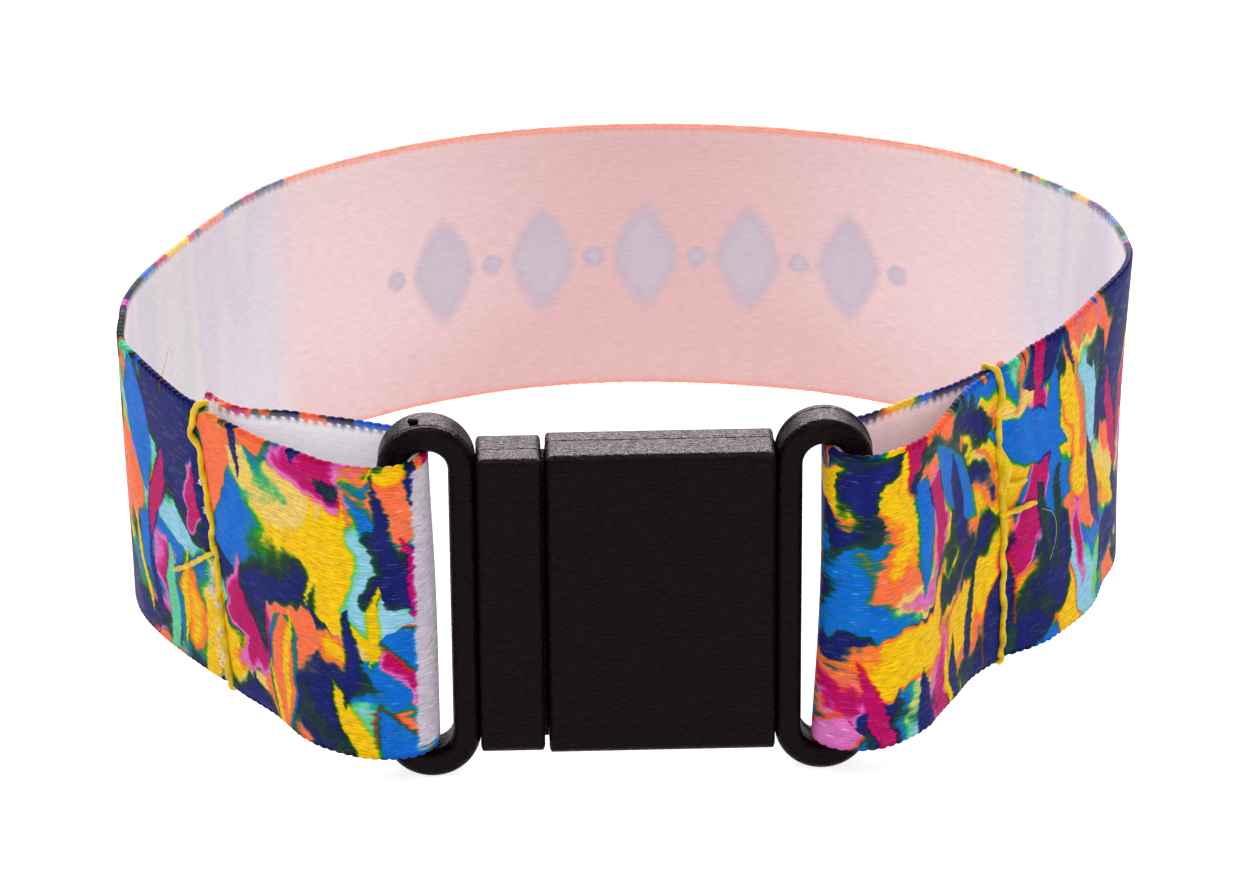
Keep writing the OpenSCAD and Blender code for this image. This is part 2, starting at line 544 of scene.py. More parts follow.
@dataclass(frozen=True)
class PrintedSatin:
    """The ribbon's cloth: white satin, printed on its outer face, with the print just showing
    through on its inner face. It reads the maps that RibbonStrip and Selvedge lay on their meshes,
    and its places and sizes are mm on the ribbon."""

    width: float
    maps: "Maps"
    printed_back: tuple[float, float] = (-26.3, 29.4)  # the plain ground at the back
    bare_band: tuple[float, float] = (-89.6, -85.35)  # the unprinted end of the pattern
    bend: tuple[float, float] = (76.0, 86.0)  # where the folds bend most, from the middle
    sides: tuple[float, float] = (38.0, 50.0)  # where the back's pale rims end
    knots_from: tuple[float, float] = (44.0, 64.0)  # where the rims' white knots begin
    fold_ends: tuple[float, float] = (66.0, 74.0)  # where the folds' inner face begins
    yarn_pitch: float = 0.21
    float_length: float = 0.8
    rib_pitch: float = 0.62
    lozenges: int = 5
    lozenge_pitch: float = 7.4
    lozenge_half: tuple[float, float] = (2.3, 3.9)
    dot_radius: float = 0.75
    relief: float = 0.018
    # the print's faint streaks on the inner face: a place in the noise, and the tint there
    inner_tints: tuple[tuple[float, tuple[int, int, int]], ...] = (
        (0.3, (226, 221, 226)),
        (0.42, (220, 214, 225)),
        (0.5, (228, 221, 226)),
        (0.58, (227, 222, 222)),
        (0.68, (216, 218, 223)),
    )
    ground: Ink = Ink.YELLOW
    passes: tuple[BlotPass | BrushPass, ...] = (
        BlotPass(Ink.SAND, 0.55, (6.5, 9.5), 30, 4.4),
        BlotPass(Ink.COBALT, 0.52, (8.5, 10.5), -26, 64.3, rim=Ink.TEAL, rim_width=0.2),
        BlotPass(Ink.SKY, 0.63, (6.0, 9.0), -30, 15.7, rim=Ink.MINT, rim_width=0.25),
        BlotPass(Ink.BOTTLE, 0.55, (9.0, 7.0), 12, 38.2, core=Ink.NAVY, core_depth=0.35),
        BlotPass(Ink.ORANGE, 0.565, (7.0, 9.5), 24, 9.1),
        BlotPass(Ink.ORCHID, 0.555, (6.5, 9.5), 16, 30.9, core=Ink.MAGENTA, core_depth=0.35),
        BlotPass(Ink.YELLOW, 0.63, (7.5, 8.0), -18, 52.6, rim=Ink.ORANGE, rim_width=0.3),
        BlotPass(Ink.NAVY, 0.62, (5.5, 8.5), 40, 83.5, rim=Ink.BOTTLE, rim_width=0.25),
        BrushPass(
            cell=(8.5, 8.0),
            half_width=1.5,
            half_length=4.6,
            lean_deg=80,
            share=0.5,
            fills=(Ink.NAVY, Ink.ORANGE, Ink.BOTTLE, Ink.NAVY, Ink.COBALT, Ink.ORCHID),
            rims=(Ink.TEAL, Ink.VERMILION, Ink.COBALT),
            rim=0.2,
            shift=(11.3, 4.7),
        ),
        BrushPass(
            cell=(4.6, 9.0),
            half_width=0.8,
            half_length=4.4,
            lean_deg=34,
            share=0.4,
            fills=(Ink.NAVY, Ink.YELLOW, Ink.MAGENTA, Ink.MINT, Ink.NAVY, Ink.COBALT),
            shift=(37.9, 21.1),
        ),
        BrushPass(
            cell=(2.4, 8.2),
            half_width=0.4,
            half_length=4.2,
            lean_deg=18,
            share=0.24,
            fills=(Ink.NAVY, Ink.YELLOW, Ink.ORANGE, Ink.NAVY, Ink.BOTTLE, Ink.YELLOW),
            shift=(73.2, 50.6),
        ),
    )

    def dress(self) -> bpy.types.Material:
        """Makes the material.

        Returns:
            The material.
        """
        recipe = Recipe("printed_satin")
        uv = recipe.node("ShaderNodeUVMap", {"uv_map": self.maps.name})
        u, v, _ = recipe.parts(uv.outputs[0])
        along = (u - 0.5) * self.maps.along
        across = v * self.maps.across
        printed = recipe.node("ShaderNodeAttribute", {"attribute_name": self.maps.side})
        side = Signal(recipe, printed.outputs["Fac"])
        face = side.ramp(0.3, 0.7)

        # Satin: rows of floats along the ribbon, each row a step further on than the one below
        row = across / self.yarn_pitch
        row_number = row.floor()
        row_luck = recipe.dice(row_number, 7.0)
        step = along / self.float_length + row_number * 0.4 + row_luck * 0.12
        float_hump = step.fraction().hump()
        height = row.fraction().hump() * (0.4 + 0.6 * (float_hump * 2.0).least(1.0))
        luck = recipe.dice(row_number, step.floor())

        fine = recipe.grain(recipe.vector(along * 1.3, across * 6.0, side), 1.0, 3.0)
        outer = self._outer(recipe, along, across, row_number, fine)
        inner = self._inner(recipe, along, across, outer)
        colour = recipe.mix(face, inner, outer)

        # The gaps between floats are in shade
        shade = 1.0 - (1.0 - height) * (0.02 + 0.13 * face) - luck * (0.02 + 0.1 * face)
        shade = shade + fine * (0.12 + 0.5 * face)
        grey = recipe.vector(shade, shade, shade)
        colour = recipe.mix(1.0, colour, grey, "MULTIPLY")
        bright = luck.ramp(0.7, 1.0)
        glint = height.ramp(0.3, 1.0) * (bright * 0.02 + fine.ramp(0.2, 0.6) * 0.11) * face
        colour = recipe.mix(glint, colour, linear((228, 226, 236)))
        wear = recipe.grain(recipe.vector(along, across, side * 5.0), 0.35, 3.0)
        roughness = 0.55 + wear * 0.08 - bright * 0.12
        return recipe.finish(
            {
                "Base Color": colour,
                "Roughness": roughness,
                "Specular IOR Level": 0.035,
                "Sheen Weight": 0.006,
                "Sheen Roughness": 0.4,
            },
            height * (0.35 + 0.4 * face) + fine * 0.5,
            self.relief * MM,
        )

    def _outer(
        self, recipe: Recipe, along: Signal, across: Signal, row_number: Signal, fine: Signal
    ) -> bpy.types.NodeSocket:
        """Works out the printed face's colour.

        Args:
            recipe: the material.
            along: place along the ribbon from the middle of its back, in mm.
            across: height over the ribbon's lower edge, in mm.
            row_number: the number of the row of yarn.
            fine: the grain of the yarn.

        Returns:
            The colour.
        """
        drift_x, drift_y, _ = recipe.parts(
            recipe.noise(recipe.vector(along, across), 0.13, 1.0).outputs["Color"]
        )
        comb_x = recipe.grain(recipe.vector(along * 0.16, across * 0.45, 2.0), 1.0, 1.0)
        comb_y = abs(recipe.grain(recipe.vector(along * 0.5, across * 0.13, 8.0), 1.0, 1.0))
        yarn = recipe.grain(recipe.vector(along * 0.9, row_number * 3.7), 1.0, 1.0)
        rough = recipe.grain(recipe.vector(along * 2.2, across * 3.4), 1.0, 2.0)

        # Where the ribbon bends round the rings its ribs open, and the print breaks into fingers
        bent = abs(along - 0.35).ramp(*self.bend)
        rib = across / self.rib_pitch
        rib_luck = recipe.dice(rib.floor(), 3.0) - 0.5
        finger = recipe.grain(recipe.vector(along * 0.45, across * 2.6, 3.0), 1.0, 1.0) * bent
        rough = rough + finger * 3.0
        ink: Any = absorbed(self.ground.value)[:3]
        for layer in self.passes:
            sway = layer.sway
            x = along + (drift_x - 0.5) * (8.0 * sway) + comb_x * (1.3 * sway) + yarn * 0.22
            y = across + (drift_y - 0.5) * (8.0 * sway) + comb_y * (2.4 * sway)
            ink = layer.paint(recipe, x, y, rough, ink)

        # The back of the band: plain ground with a row of lozenges and dots
        middle, half = self._halves(self.printed_back)
        from_middle = along - middle
        cover = half - (abs(from_middle) + comb_x * 0.9 + yarn * 0.2)
        ink = recipe.overprint(ink, absorbed(Ink.SALMON.value)[:3], cover, 0.15)
        rim, core = self._ornament(recipe, from_middle, across, 0.07)
        ink = recipe.mix(rim, ink, absorbed(Ink.SLATE.value))
        ink = recipe.mix(core, ink, absorbed((232, 222, 222)))

        # The bare end of the pattern, with painted shade where it turns round the ring's bar: grey
        # at bare_band[1], near white at bare_band[0].
        middle, half = self._halves(self.bare_band)
        edge = across.least(self.width - across)
        from_bare = abs(along - middle) + rough * 0.1 + yarn * 0.2
        bare = from_bare.ramp(half + 0.2, half - 0.2) * (edge + rough * 0.2).ramp(0.3, 0.8)
        painted_turn_shade = along.ramp(self.bare_band[1], self.bare_band[0])
        plain = recipe.mix(painted_turn_shade, absorbed((198, 186, 200)), absorbed((236, 232, 240)))
        ink = recipe.mix(bare, ink, plain)

        # The ink lies thinner in streaks and on the small floats between the ribs
        streak = recipe.grain(recipe.vector(along * 0.9, across * 0.35, 5.0), 1.0, 3.0)
        step = along / 1.3 + rib.floor() * 0.5 + rib_luck * 0.5
        speck_long = ((step.fraction().hump() - 0.8) / 0.2).most(0.0)
        speck_high = ((rib.fraction().hump() - 0.88) / 0.12).most(0.0)
        speck_luck = recipe.dice(rib.floor(), step.floor() + 9.0).ramp(0.3, 1.0)
        speck = speck_long * speck_high * speck_luck * (0.1 + 0.9 * bent)

        # The rim is deeply inked, but paler along the back
        front = abs(along).ramp(*self.sides)
        deep = edge.ramp(0.5, 0.1) * 0.3 * front
        density = -DENSEST * (1.0 + streak * 0.16 + fine * 0.26 - speck * 0.4 + deep)
        colour = recipe.vector(*((part * density).exponent() for part in recipe.parts(ink)))
        pale = edge.ramp(0.5, 0.0) * (1.0 - front) * 0.17
        return recipe.mix(pale, colour, linear((250, 236, 224)))

    @staticmethod
    def _halves(span: tuple[float, float]) -> tuple[float, float]:
        """Turns the two ends of a span into its middle and half its length."""
        return (span[0] + span[1]) / 2, (span[1] - span[0]) / 2

    def _ornament(
        self, recipe: Recipe, from_middle: Signal, across: Signal, blur: float
    ) -> tuple[Signal, Signal]:
        """Works out the row of lozenges and dots on the back.

        Args:
            recipe: the material.
            from_middle: place along the ribbon from the ornament's middle, in mm.
            across: height over the lower edge, in mm.
            blur: half the width of its soft edges, as a share of a figure.

        Returns:
            The mask of the whole figures and the mask of their cores.
        """
        pitch, wide, high = self.lozenge_pitch, *self.lozenge_half
        reach = pitch * self.lozenges / 2
        up = across - self.width / 2
        local = ((from_middle / pitch + 0.5).fraction() - 0.5) * pitch
        lozenge = (abs(local) / wide) ** 1.35 + (abs(up) / high) ** 1.35
        inside = abs(from_middle).ramp(reach + 0.1, reach - 0.1)
        dot_local = ((from_middle / pitch).fraction() - 0.5) * pitch
        dot = (dot_local * dot_local + up * up) ** 0.5 / self.dot_radius
        dot_inside = abs(from_middle).ramp(reach + 0.25 * pitch, reach)

        def figures(lozenge_size: float, dot_size: float) -> Signal:
            """Masks the figures.

            Args:
                lozenge_size: the lozenges' size, as a share.
                dot_size: the dots' size, as a share.

            Returns:
                The mask.
            """
            lozenges = lozenge.ramp(lozenge_size + blur, lozenge_size - blur) * inside
            dots = dot.ramp(dot_size + blur, dot_size - blur) * dot_inside
            return lozenges.most(dots)

        return figures(1.0, 1.0), figures(0.72, 0.5)

    def _inner(
        self, recipe: Recipe, along: Signal, across: Signal, outer: bpy.types.NodeSocket
    ) -> bpy.types.NodeSocket:
        """Works out the unprinted face's colour.

        Args:
            recipe: the material.
            along: place along the ribbon from the middle of its back, in mm.
            across: height over the ribbon's lower edge, in mm.
            outer: the printed face's colour at the same place.

        Returns:
            The colour.
        """
        streak = recipe.cloud(recipe.vector(along * 0.22, across * 0.035, 9.1), 1.0, 1.0)
        stops = [(place, linear(shade)) for place, shade in self.inner_tints]
        made = recipe.node("ShaderNodeValToRGB", {"stops": stops}, {0: streak})
        tint: bpy.types.NodeSocket = made.outputs["Color"]
        middle, half = self._halves(self.printed_back)
        from_middle = along - middle
        ground = abs(from_middle).ramp(half + 3.2, half - 1.6)
        mottle = recipe.grain(recipe.vector(along * 0.8, across * 2.4), 1.0, 3.0)
        rosy = abs(from_middle - 1.0).ramp(half, 1.0) + (across + mottle).ramp(9.0, 0.0) * 0.5
        peach = recipe.mix(rosy.least(1.0), linear((236, 212, 212)), linear((222, 184, 183)))
        ends = abs(along).ramp(*self.fold_ends)
        # Painted light: on the right fold's inner face the colour turns warmer and brighter towards
        # along 72, for light that comes through the cloth where the fold closes.
        glow = recipe.mix(along.ramp(78.0, 72.0), linear((240, 220, 222)), linear((255, 222, 196)))
        fold = recipe.mix(along.below(0.0), glow, linear((240, 241, 244)))
        tint = recipe.mix(ends, tint, fold)
        colour = recipe.mix(ground, tint, peach)
        tone = 1.0 + mottle * 0.045
        colour = recipe.mix(1.0, colour, recipe.vector(tone, tone, tone), "MULTIPLY")
        rim, core = self._ornament(recipe, from_middle + mottle * 0.3, across + mottle * 0.2, 0.3)
        colour = recipe.mix(rim * 0.75, colour, linear((186, 178, 196)))
        colour = recipe.mix(core * 0.6, colour, linear((204, 196, 206)))

        # Near each edge the ink has run round the selvedge, in teeth between small white knots
        upper = across.ramp(self.width * 0.4, self.width * 0.6)
        edge = across.least(self.width - across)
        fray = recipe.grain(recipe.vector(along * 3.0, across * 0.8), 1.0, 2.0)
        phase = (along / self.rib_pitch).fraction() - 0.5
        tooth = 4.0 * phase * phase
        bold = abs(along).ramp(*self.knots_from)
        high_run = (edge + fray * 0.2 - tooth * 0.15 + (1.0 - bold) * 0.16).ramp(0.8, 0.2)
        low_run = (edge + fray * 0.15).ramp(0.5, 0.2)
        run = high_run * (0.25 + 0.75 * upper) + low_run * (1.0 - upper) * 0.6
        colour = recipe.mix(run.least(1.0) * (0.7 + bold * 0.2), colour, outer)
        knot_along = phase * self.rib_pitch
        knot_up = edge - 0.46
        knot = ((knot_along * knot_along + knot_up * knot_up) ** 0.5).ramp(0.17, 0.08)
        knot = knot * bold * (0.3 + 0.7 * along.below(0.0))
        return recipe.mix(knot * (0.1 + 0.8 * upper), colour, linear((240, 234, 238)))


@dataclass(frozen=True)
class SewingThread:
    """Two-ply sewing thread or loose yarn."""

    name: str = "sewing_thread"
    light: tuple[int, int, int] = (226, 192, 2)
    dark: tuple[int, int, int] = (172, 138, 0)
    fibre_scale: float = 9000.0  # fibres to a metre
    relief: float = 0.03

    def dress(self) -> bpy.types.Material:
        """Makes the material.

        Returns:
            The material.
        """
        recipe = Recipe(self.name)
        where = recipe.node("ShaderNodeTexCoord").outputs["Object"]
        patchy = recipe.grain(where, 900.0, 2.0)
        fibres = recipe.cloud(where, self.fibre_scale, 3.0, 0.6)
        share = (0.42 + patchy * 0.55 + (fibres - 0.5) * 0.9).ramp(0.0, 1.0)
        colour = recipe.mix(share, linear(self.light), linear(self.dark))
        return recipe.finish(
            {
                "Base Color": colour,
                "Roughness": 0.55 + patchy * 0.1,
                "Specular IOR Level": 0.2,
                "Sheen Weight": 0.08,
                "Sheen Roughness": 0.5,
            },
            fibres,
            self.relief * MM,
        )


@dataclass(frozen=True)
class MouldedPlastic:
    """Near-black moulded plastic with a coarse matte grain."""

    colour: tuple[int, int, int] = (5, 1, 1)
    grain_highlight: tuple[int, int, int] = (14, 5, 5)
    grain_size: tuple[float, float, float] = (0.42, 0.17, 0.2)  # mm
    grain_depth: float = 0.14

    def dress(self) -> bpy.types.Material:
        """Makes the material.

        Returns:
            The material.
        """
        recipe = Recipe("moulded_plastic")
        place = recipe.node("ShaderNodeTexCoord").outputs["Object"]
        x, y, z = recipe.parts(place)
        a, b, c = (1.0 / (size * MM) for size in self.grain_size)
        grain = recipe.cloud(recipe.vector(x * a, y * b, z * c), 1.0, 3.0, 0.6)
        # Painted highlight: where the grain stands high the colour is lighter, for light that
        # catches its bumps.
        colour = recipe.mix(grain.ramp(0.42, 0.66), linear(self.colour), linear(self.grain_highlight))
        pits = recipe.cloud(recipe.vector(x * (a * 1.3), y * (b * 1.5), z * (c * 1.2)))
        # The grain is shallower on what faces up or down
        _, _, up = recipe.parts(recipe.node("ShaderNodeTexCoord").outputs["Normal"])
        return recipe.finish(
            {
                "Base Color": colour,
                "Roughness": 0.15 + pits.ramp(0.42, 0.62) * 0.3,
                "Specular IOR Level": 0.068,
                "Specular Tint": linear((255, 234, 244)),
            },
            grain * (1.0 - abs(up) * 0.72),
            self.grain_depth * MM,
        )


@dataclass(frozen=True)
class StudioGround:
    """The plain table, lit from below."""

    colour: tuple[int, int, int] = (180, 180, 180)
    clouded: tuple[int, int, int] = (178, 178, 179)
    glow: float = 0.8

    def dress(self) -> bpy.types.Material:
        """Makes the material.

        Returns:
            The material.
        """
        recipe = Recipe("studio_floor")
        where = recipe.node("ShaderNodeTexCoord").outputs["Object"]
        cloud = recipe.grain(where, 14.0, 2.0)
        colour = recipe.mix(0.5 + cloud * 0.5, linear(self.colour), linear(self.clouded))
        return recipe.finish(
            {
                "Base Color": colour,
                "Roughness": 0.9,
                "Specular IOR Level": 0.1,
                "Emission Color": (1.0, 1.0, 1.0, 1.0),
                "Emission Strength": self.glow,
            }
        )


# Meshes


@dataclass
class Shape:
    """Points and faces that are put together part by part, in metres in the frame."""

    points: list[np.ndarray] = field(default_factory=list)
    faces: list[tuple[int, ...]] = field(default_factory=list)
    count: int = 0

    def add(self, points: np.ndarray, faces: Sequence[Sequence[int]]) -> None:
        """Adds a part.

        Args:
            points: its points, one row each.
            faces: its faces, which number its own points from 0.
        """
        self.points.append(points)
        self.faces.extend(tuple(i + self.count for i in face) for face in faces)
        self.count += len(points)

    def piece(self, name: str, material: bpy.types.Material, slot: Slot) -> bpy.types.Object:
        """Makes a Blender object that rides on the band.

        Args:
            name: the piece's name.
            material: its finish.
            slot: not used.

        Returns:
            The object.
        """
        mesh = bpy.data.meshes.new(name)
        mesh.from_pydata(np.concatenate(self.points).tolist(), [], self.faces)
        mesh.polygons.foreach_set("use_smooth", [True] * len(mesh.polygons))
        mesh.materials.append(material)
        mesh.update()
        made = bpy.data.objects.new(name, mesh)
        bpy.context.scene.collection.objects.link(made)
        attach(made, BODY)
        return made


def tube(rings: int, sides: int, closed: bool = False) -> list[tuple[int, ...]]:
    """Lists the faces of a tube.

    Args:
        rings: how many rings of points it has.
        sides: how many points a ring has.
        closed: whether the last ring joins the first. Otherwise each end has a face.

    Returns:
        The faces.
    """
    faces: list[tuple[int, ...]] = []
    for ring in range(rings if closed else rings - 1):
        here, there = ring * sides, (ring + 1) % rings * sides
        for side in range(sides):
            other = (side + 1) % sides
            faces.append((here + side, here + other, there + other, there + side))
    if not closed:
        faces.append(tuple(range(sides - 1, -1, -1)))
        faces.append(tuple((rings - 1) * sides + side for side in range(sides)))
    return faces


def unit(vectors: np.ndarray) -> np.ndarray:
    """Scales each row to length 1."""
    return vectors / np.linalg.norm(vectors, axis=-1, keepdims=True)


def curve_between(u: Any, a: Any, b: Any, speed_a: Any, speed_b: Any) -> np.ndarray:
    """Follows a smooth curve from one point to the next.

    Args:
        u: how far along, from 0 to 1.
        a: the first point.
        b: the second point.
        speed_a: the curve's speed at the first point.
        speed_b: its speed at the second.

    Returns:
        The point there.
    """
    from_a = (2 * u**3 - 3 * u**2 + 1) * a + (u**3 - 2 * u**2 + u) * speed_a
    return from_a + (3 * u**2 - 2 * u**3) * b + (u**3 - u**2) * speed_b


def smooth_path(points: Sequence[Sequence[float]], step: float) -> np.ndarray:
    """Runs a smooth curve through points.

    Args:
        points: the points, in any number of columns.
        step: the distance between the points of the curve.

    Returns:
        The curve's points.
    """
    knots = np.asarray(points, float)
    chord = np.sqrt(np.linalg.norm(np.diff(knots, axis=0), axis=1)) + 1e-9
    t = np.r_[0.0, np.cumsum(chord)]
    slopes = np.gradient(knots, t, axis=0)
    fine = np.linspace(0.0, t[-1], 24 * len(knots))
    i = np.clip(np.searchsorted(t, fine, side="right") - 1, 0, len(knots) - 2)
    h = (t[i + 1] - t[i])[:, None]
    u = ((fine - t[i])[:, None]) / h
    curve = curve_between(u, knots[i], knots[i + 1], h * slopes[i], h * slopes[i + 1])
    length = np.r_[0.0, np.cumsum(np.linalg.norm(np.diff(curve, axis=0), axis=1))]
    even = np.linspace(0.0, length[-1], max(3, int(length[-1] / step) + 1))
    return np.stack([np.interp(even, length, column) for column in curve.T], axis=1)


@dataclass(frozen=True)
class Strand:
    """A round or plied strand that follows a path."""

    radius: float
    sides: int = 12
    ply: int = 0  # how many strands are twisted together
    ply_depth: float = 0.2
    twist: float = 1.2  # mm for one turn of the ply
    taper: float = 0.0  # how much thinner the ends are, as a share
    step: float = 0.16

    def along(
        self, path: np.ndarray, swell: np.ndarray | None = None
    ) -> tuple[np.ndarray, list[tuple[int, ...]]]:
        """Sweeps the strand along a path.

        Args:
            path: the points of its middle, in mm.
            swell: how thick it is at each point, as a share of the radius.

        Returns:
            Its points and its faces.
        """
        count = len(path)
        heading = unit(np.gradient(path, axis=0))
        first = np.cross(heading[0], (0.0, 0.0, 1.0))
        if np.linalg.norm(first) < 1e-3:
            first = np.cross(heading[0], (0.0, 1.0, 0.0))
        sides = [first / np.linalg.norm(first)]
        for i in range(1, count):
            moved = sides[-1] - heading[i] * float(np.dot(sides[-1], heading[i]))
            sides.append(moved / max(1e-9, np.linalg.norm(moved)))
        side = np.array(sides)
        other = np.cross(heading, side)
        run = np.r_[0.0, np.cumsum(np.linalg.norm(np.diff(path, axis=0), axis=1))]
        angle = np.linspace(0, 2 * math.pi, self.sides, endpoint=False)[None, :]
        radius = np.full((count, 1), self.radius)
        if swell is not None:
            radius = radius * swell[:, None]
        if self.taper:
            ends = np.minimum(run, run[-1] - run) / max(1e-6, run[-1] * 0.5)
            radius = radius * (1 - self.taper + self.taper * np.clip(ends, 0, 1) ** 0.5)[:, None]
        if self.ply:
            turn = 2 * math.pi * run[:, None] / self.twist
            radius = radius * (1 + self.ply_depth * np.cos(self.ply * angle - turn * self.ply / 2))
        ring = radius * np.ones_like(angle)
        points = (
            path[:, None, :]
            + side[:, None, :] * (ring * np.cos(angle))[..., None]
            + other[:, None, :] * (ring * np.sin(angle))[..., None]
        )
        return points.reshape(-1, 3), tube(count, self.sides)


# The ribbon


@dataclass(frozen=True)
class Rest:
    """How the upright drawing lies on the floor: it leans back until the ribbon's lower edge meets
    the floor behind, and its box is centred."""

    tilt_deg: float = 1.99056
    lift: float = 1.04378  # how far the leaning drawing is raised to stand on the floor
    middle_x: float = 0.100114  # the middle of the leaning drawing's box
    middle_y: float = 0.368861

    def place(self, points: np.ndarray) -> np.ndarray:
        """Turns points of the upright drawing, in mm, into metres in the frame.

        Args:
            points: any array whose last axis is x, y, z.

        Returns:
            The points in the frame.
        """
        c, s = math.cos(math.radians(self.tilt_deg)), math.sin(math.radians(self.tilt_deg))
        x, y, z = points[..., 0], points[..., 1], points[..., 2]
        placed = np.stack(
            [x - self.middle_x, c * y + s * z - self.middle_y, c * z - s * y + self.lift], axis=-1
        )
        return placed * MM


@dataclass
class Way:
    """The ribbon's way in plan and the surface that stands on it. A place on the surface is given
    by mm along from the middle of the back, mm across from the lower edge, and mm out of the wall's
    middle towards the printed side."""

    width: float = 20.07
    # x, y, heading in degrees, and how far the top edge stands to the left of the bottom edge
    left_fold: tuple[tuple[float, float, float, float], ...] = (
        (-26.55, -16.75, -55, -0.9),  # left cut end
        (-25.1, -18.75, -50, -0.8),  # left seam, inner layer
        (-21.2, -20.5, -24, 0.1),  # inner layer between seam and ring
        (-15.8, -22.75, -25, 0.1),  # behind the ring's bar
        (-13.5, -24.6, -72, -0.2),  # into the ring's slot
        (-13.2, -26.6, -95, -0.3),  # through the ring's slot
        (-16.0, -29.0, -180, 0.2),  # in front of the ring's bar
        (-20.7, -26.6, -226, 0.3),  # outer layer where it stands off
        (-23.8, -22.74, -235, 1.7),  # outer layer near the seam
    )
    band: tuple[tuple[float, float, float, float], ...] = (
        (-26.23, -19.42, -237, 1.7),  # left seam
        (-31.96, -9.35, -246, 1.05),  # left side, front
        (-32.9, -3.6, -268, 0.2),  # left side, widest
        (-30.3, 6.4, -293, 0.3),  # left side, back
        (-22.6, 19.9, -314, 0.3),  # back left corner
        (-11.6, 27.1, -339, -0.2),  # back, left of the middle
        (0.5, 29.3, -360, -0.5),  # back
        (12.5, 27.5, -376, -0.2),  # back, right of the middle
        (24.2, 21.7, -396, 0.3),  # back right corner
        (31.4, 12.8, -423, 0.5),  # right side, back
        (32.8, 4.5, -449, 1.1),  # right side, widest
        (30.7, -4.3, -475, -1.3),  # right side, where it turns in
        (28.65, -9.17, -478, -2.0),  # right side, front
        (26.0, -12.95, -487, -2.15),  # right side, by the seam
        (23.1, -16.2, -496, -0.85),  # right seam
    )
    right_fold: tuple[tuple[float, float, float, float], ...] = (
        (19.95, -20.65, -474, -0.6),  # outer layer near the seam
        (17.8, -25.4, -474, -0.2),  # outer layer where it stands off
        (16.3, -27.3, -494, -0.2),  # outer layer before the ring
        (13.4, -28.9, -540, -0.2),  # in front of the ring's bar
        (11.0, -26.8, -629, -0.9),  # through the ring's slot
        (11.3, -24.6, -648, -0.2),  # out of the ring's slot
        (13.6, -22.8, -685, 0.0),  # behind the ring's bar
        (17.6, -20.0, -686, 0.6),  # inner layer between ring and seam
        (22.62, -15.78, -673, 0.8),  # right seam, inner layer
        (23.4, -14.85, -672, 0.9),  # right cut end
    )
    back_row: int = 15  # the row that the places along are measured from
    steps: int = 60  # from one row to the next
    seams: tuple[float, float] = (-68.0, 68.7)  # where the two threads cross, along
    seam_reach: float = 30.0  # how far from its ring a fold runs, at most
    ripple_depth: float = 0.035
    pinch_depth: float = 0.2
    pucker_depth: float = 0.06

    def __post_init__(self) -> None:
        """Works out the middle line in small steps."""
        rows = np.array(self.left_fold + self.band + self.right_fold)
        u = np.linspace(0, 1, self.steps, endpoint=False)[:, None]
        places, sides, leans = [], [], []
        for a, b in zip(rows[:-1], rows[1:]):
            pull = np.linalg.norm(b[:2] - a[:2]) / math.cos(math.radians((b[2] - a[2]) / 4)) ** 2
            speed_a, speed_b = (
                pull * np.array([math.cos(math.radians(row[2])), math.sin(math.radians(row[2]))])
                for row in (a, b)
            )
            places.append(curve_between(u, a[:2], b[:2], speed_a, speed_b))
            slope = (
                (6 * u**2 - 6 * u) * (a[:2] - b[:2])
                + (3 * u**2 - 4 * u + 1) * speed_a
                + (3 * u**2 - 2 * u) * speed_b
            )
            sides.append(unit(np.stack([-slope[:, 1], slope[:, 0]], axis=1)))
            leans.append((a[3] + (3 * u**2 - 2 * u**3) * (b[3] - a[3]))[:, 0])
        end = math.radians(rows[-1][2])
        places.append(rows[-1][None, :2])
        sides.append(np.array([[-math.sin(end), math.cos(end)]]))
        leans.append(np.array([rows[-1][3]]))
        self.place = np.concatenate(places)
        self.side = np.concatenate(sides)
        self.lean = np.concatenate(leans)
        run = np.r_[0.0, np.cumsum(np.linalg.norm(np.diff(self.place, axis=0), axis=1))]
        self.run = run - run[self.steps * self.back_row]
        self.start, self.end = float(self.run[0]), float(self.run[-1])
        self.length = self.end - self.start
        self.pinches = list(self.seams)
        random = np.random.default_rng(11)
        full_turn = (0, 6.28)
        spans = ((0.1, 0.5), (0.05, 0.35), full_turn, full_turn)
        self.ripples = [[random.uniform(*span) for span in spans] for _ in range(5)]
        self.pinches += [self.facing(seam, seam < 0) for seam in self.seams]

    def relief(self, along: np.ndarray, across: np.ndarray) -> np.ndarray:
        """How far the wall stands out of its smooth way: soft ripples, and the pinch of the seams.

        Args:
            along: places along the ribbon.
            across: heights over its lower edge.

        Returns:
            The distance out, in mm.
        """
        out = np.zeros(np.broadcast(along, across).shape)
        for per_along, per_across, start, other_start in self.ripples:
            wave = np.sin(per_along * along + start) * np.sin(per_across * across + other_start)
            out = out + self.ripple_depth * wave
        for number, seam in enumerate(self.pinches):
            near = along - seam
            at_seam = np.exp(-((near / 0.8) ** 2))
            out = out - self.pinch_depth * at_seam
            wave = np.sin(across * 1.9 + number * 2.0 + 0.8 * np.sin(across * 0.7))
            out = out + self.pucker_depth * wave * np.exp(-((near / 2.6) ** 2)) * (1 - at_seam)
        return out

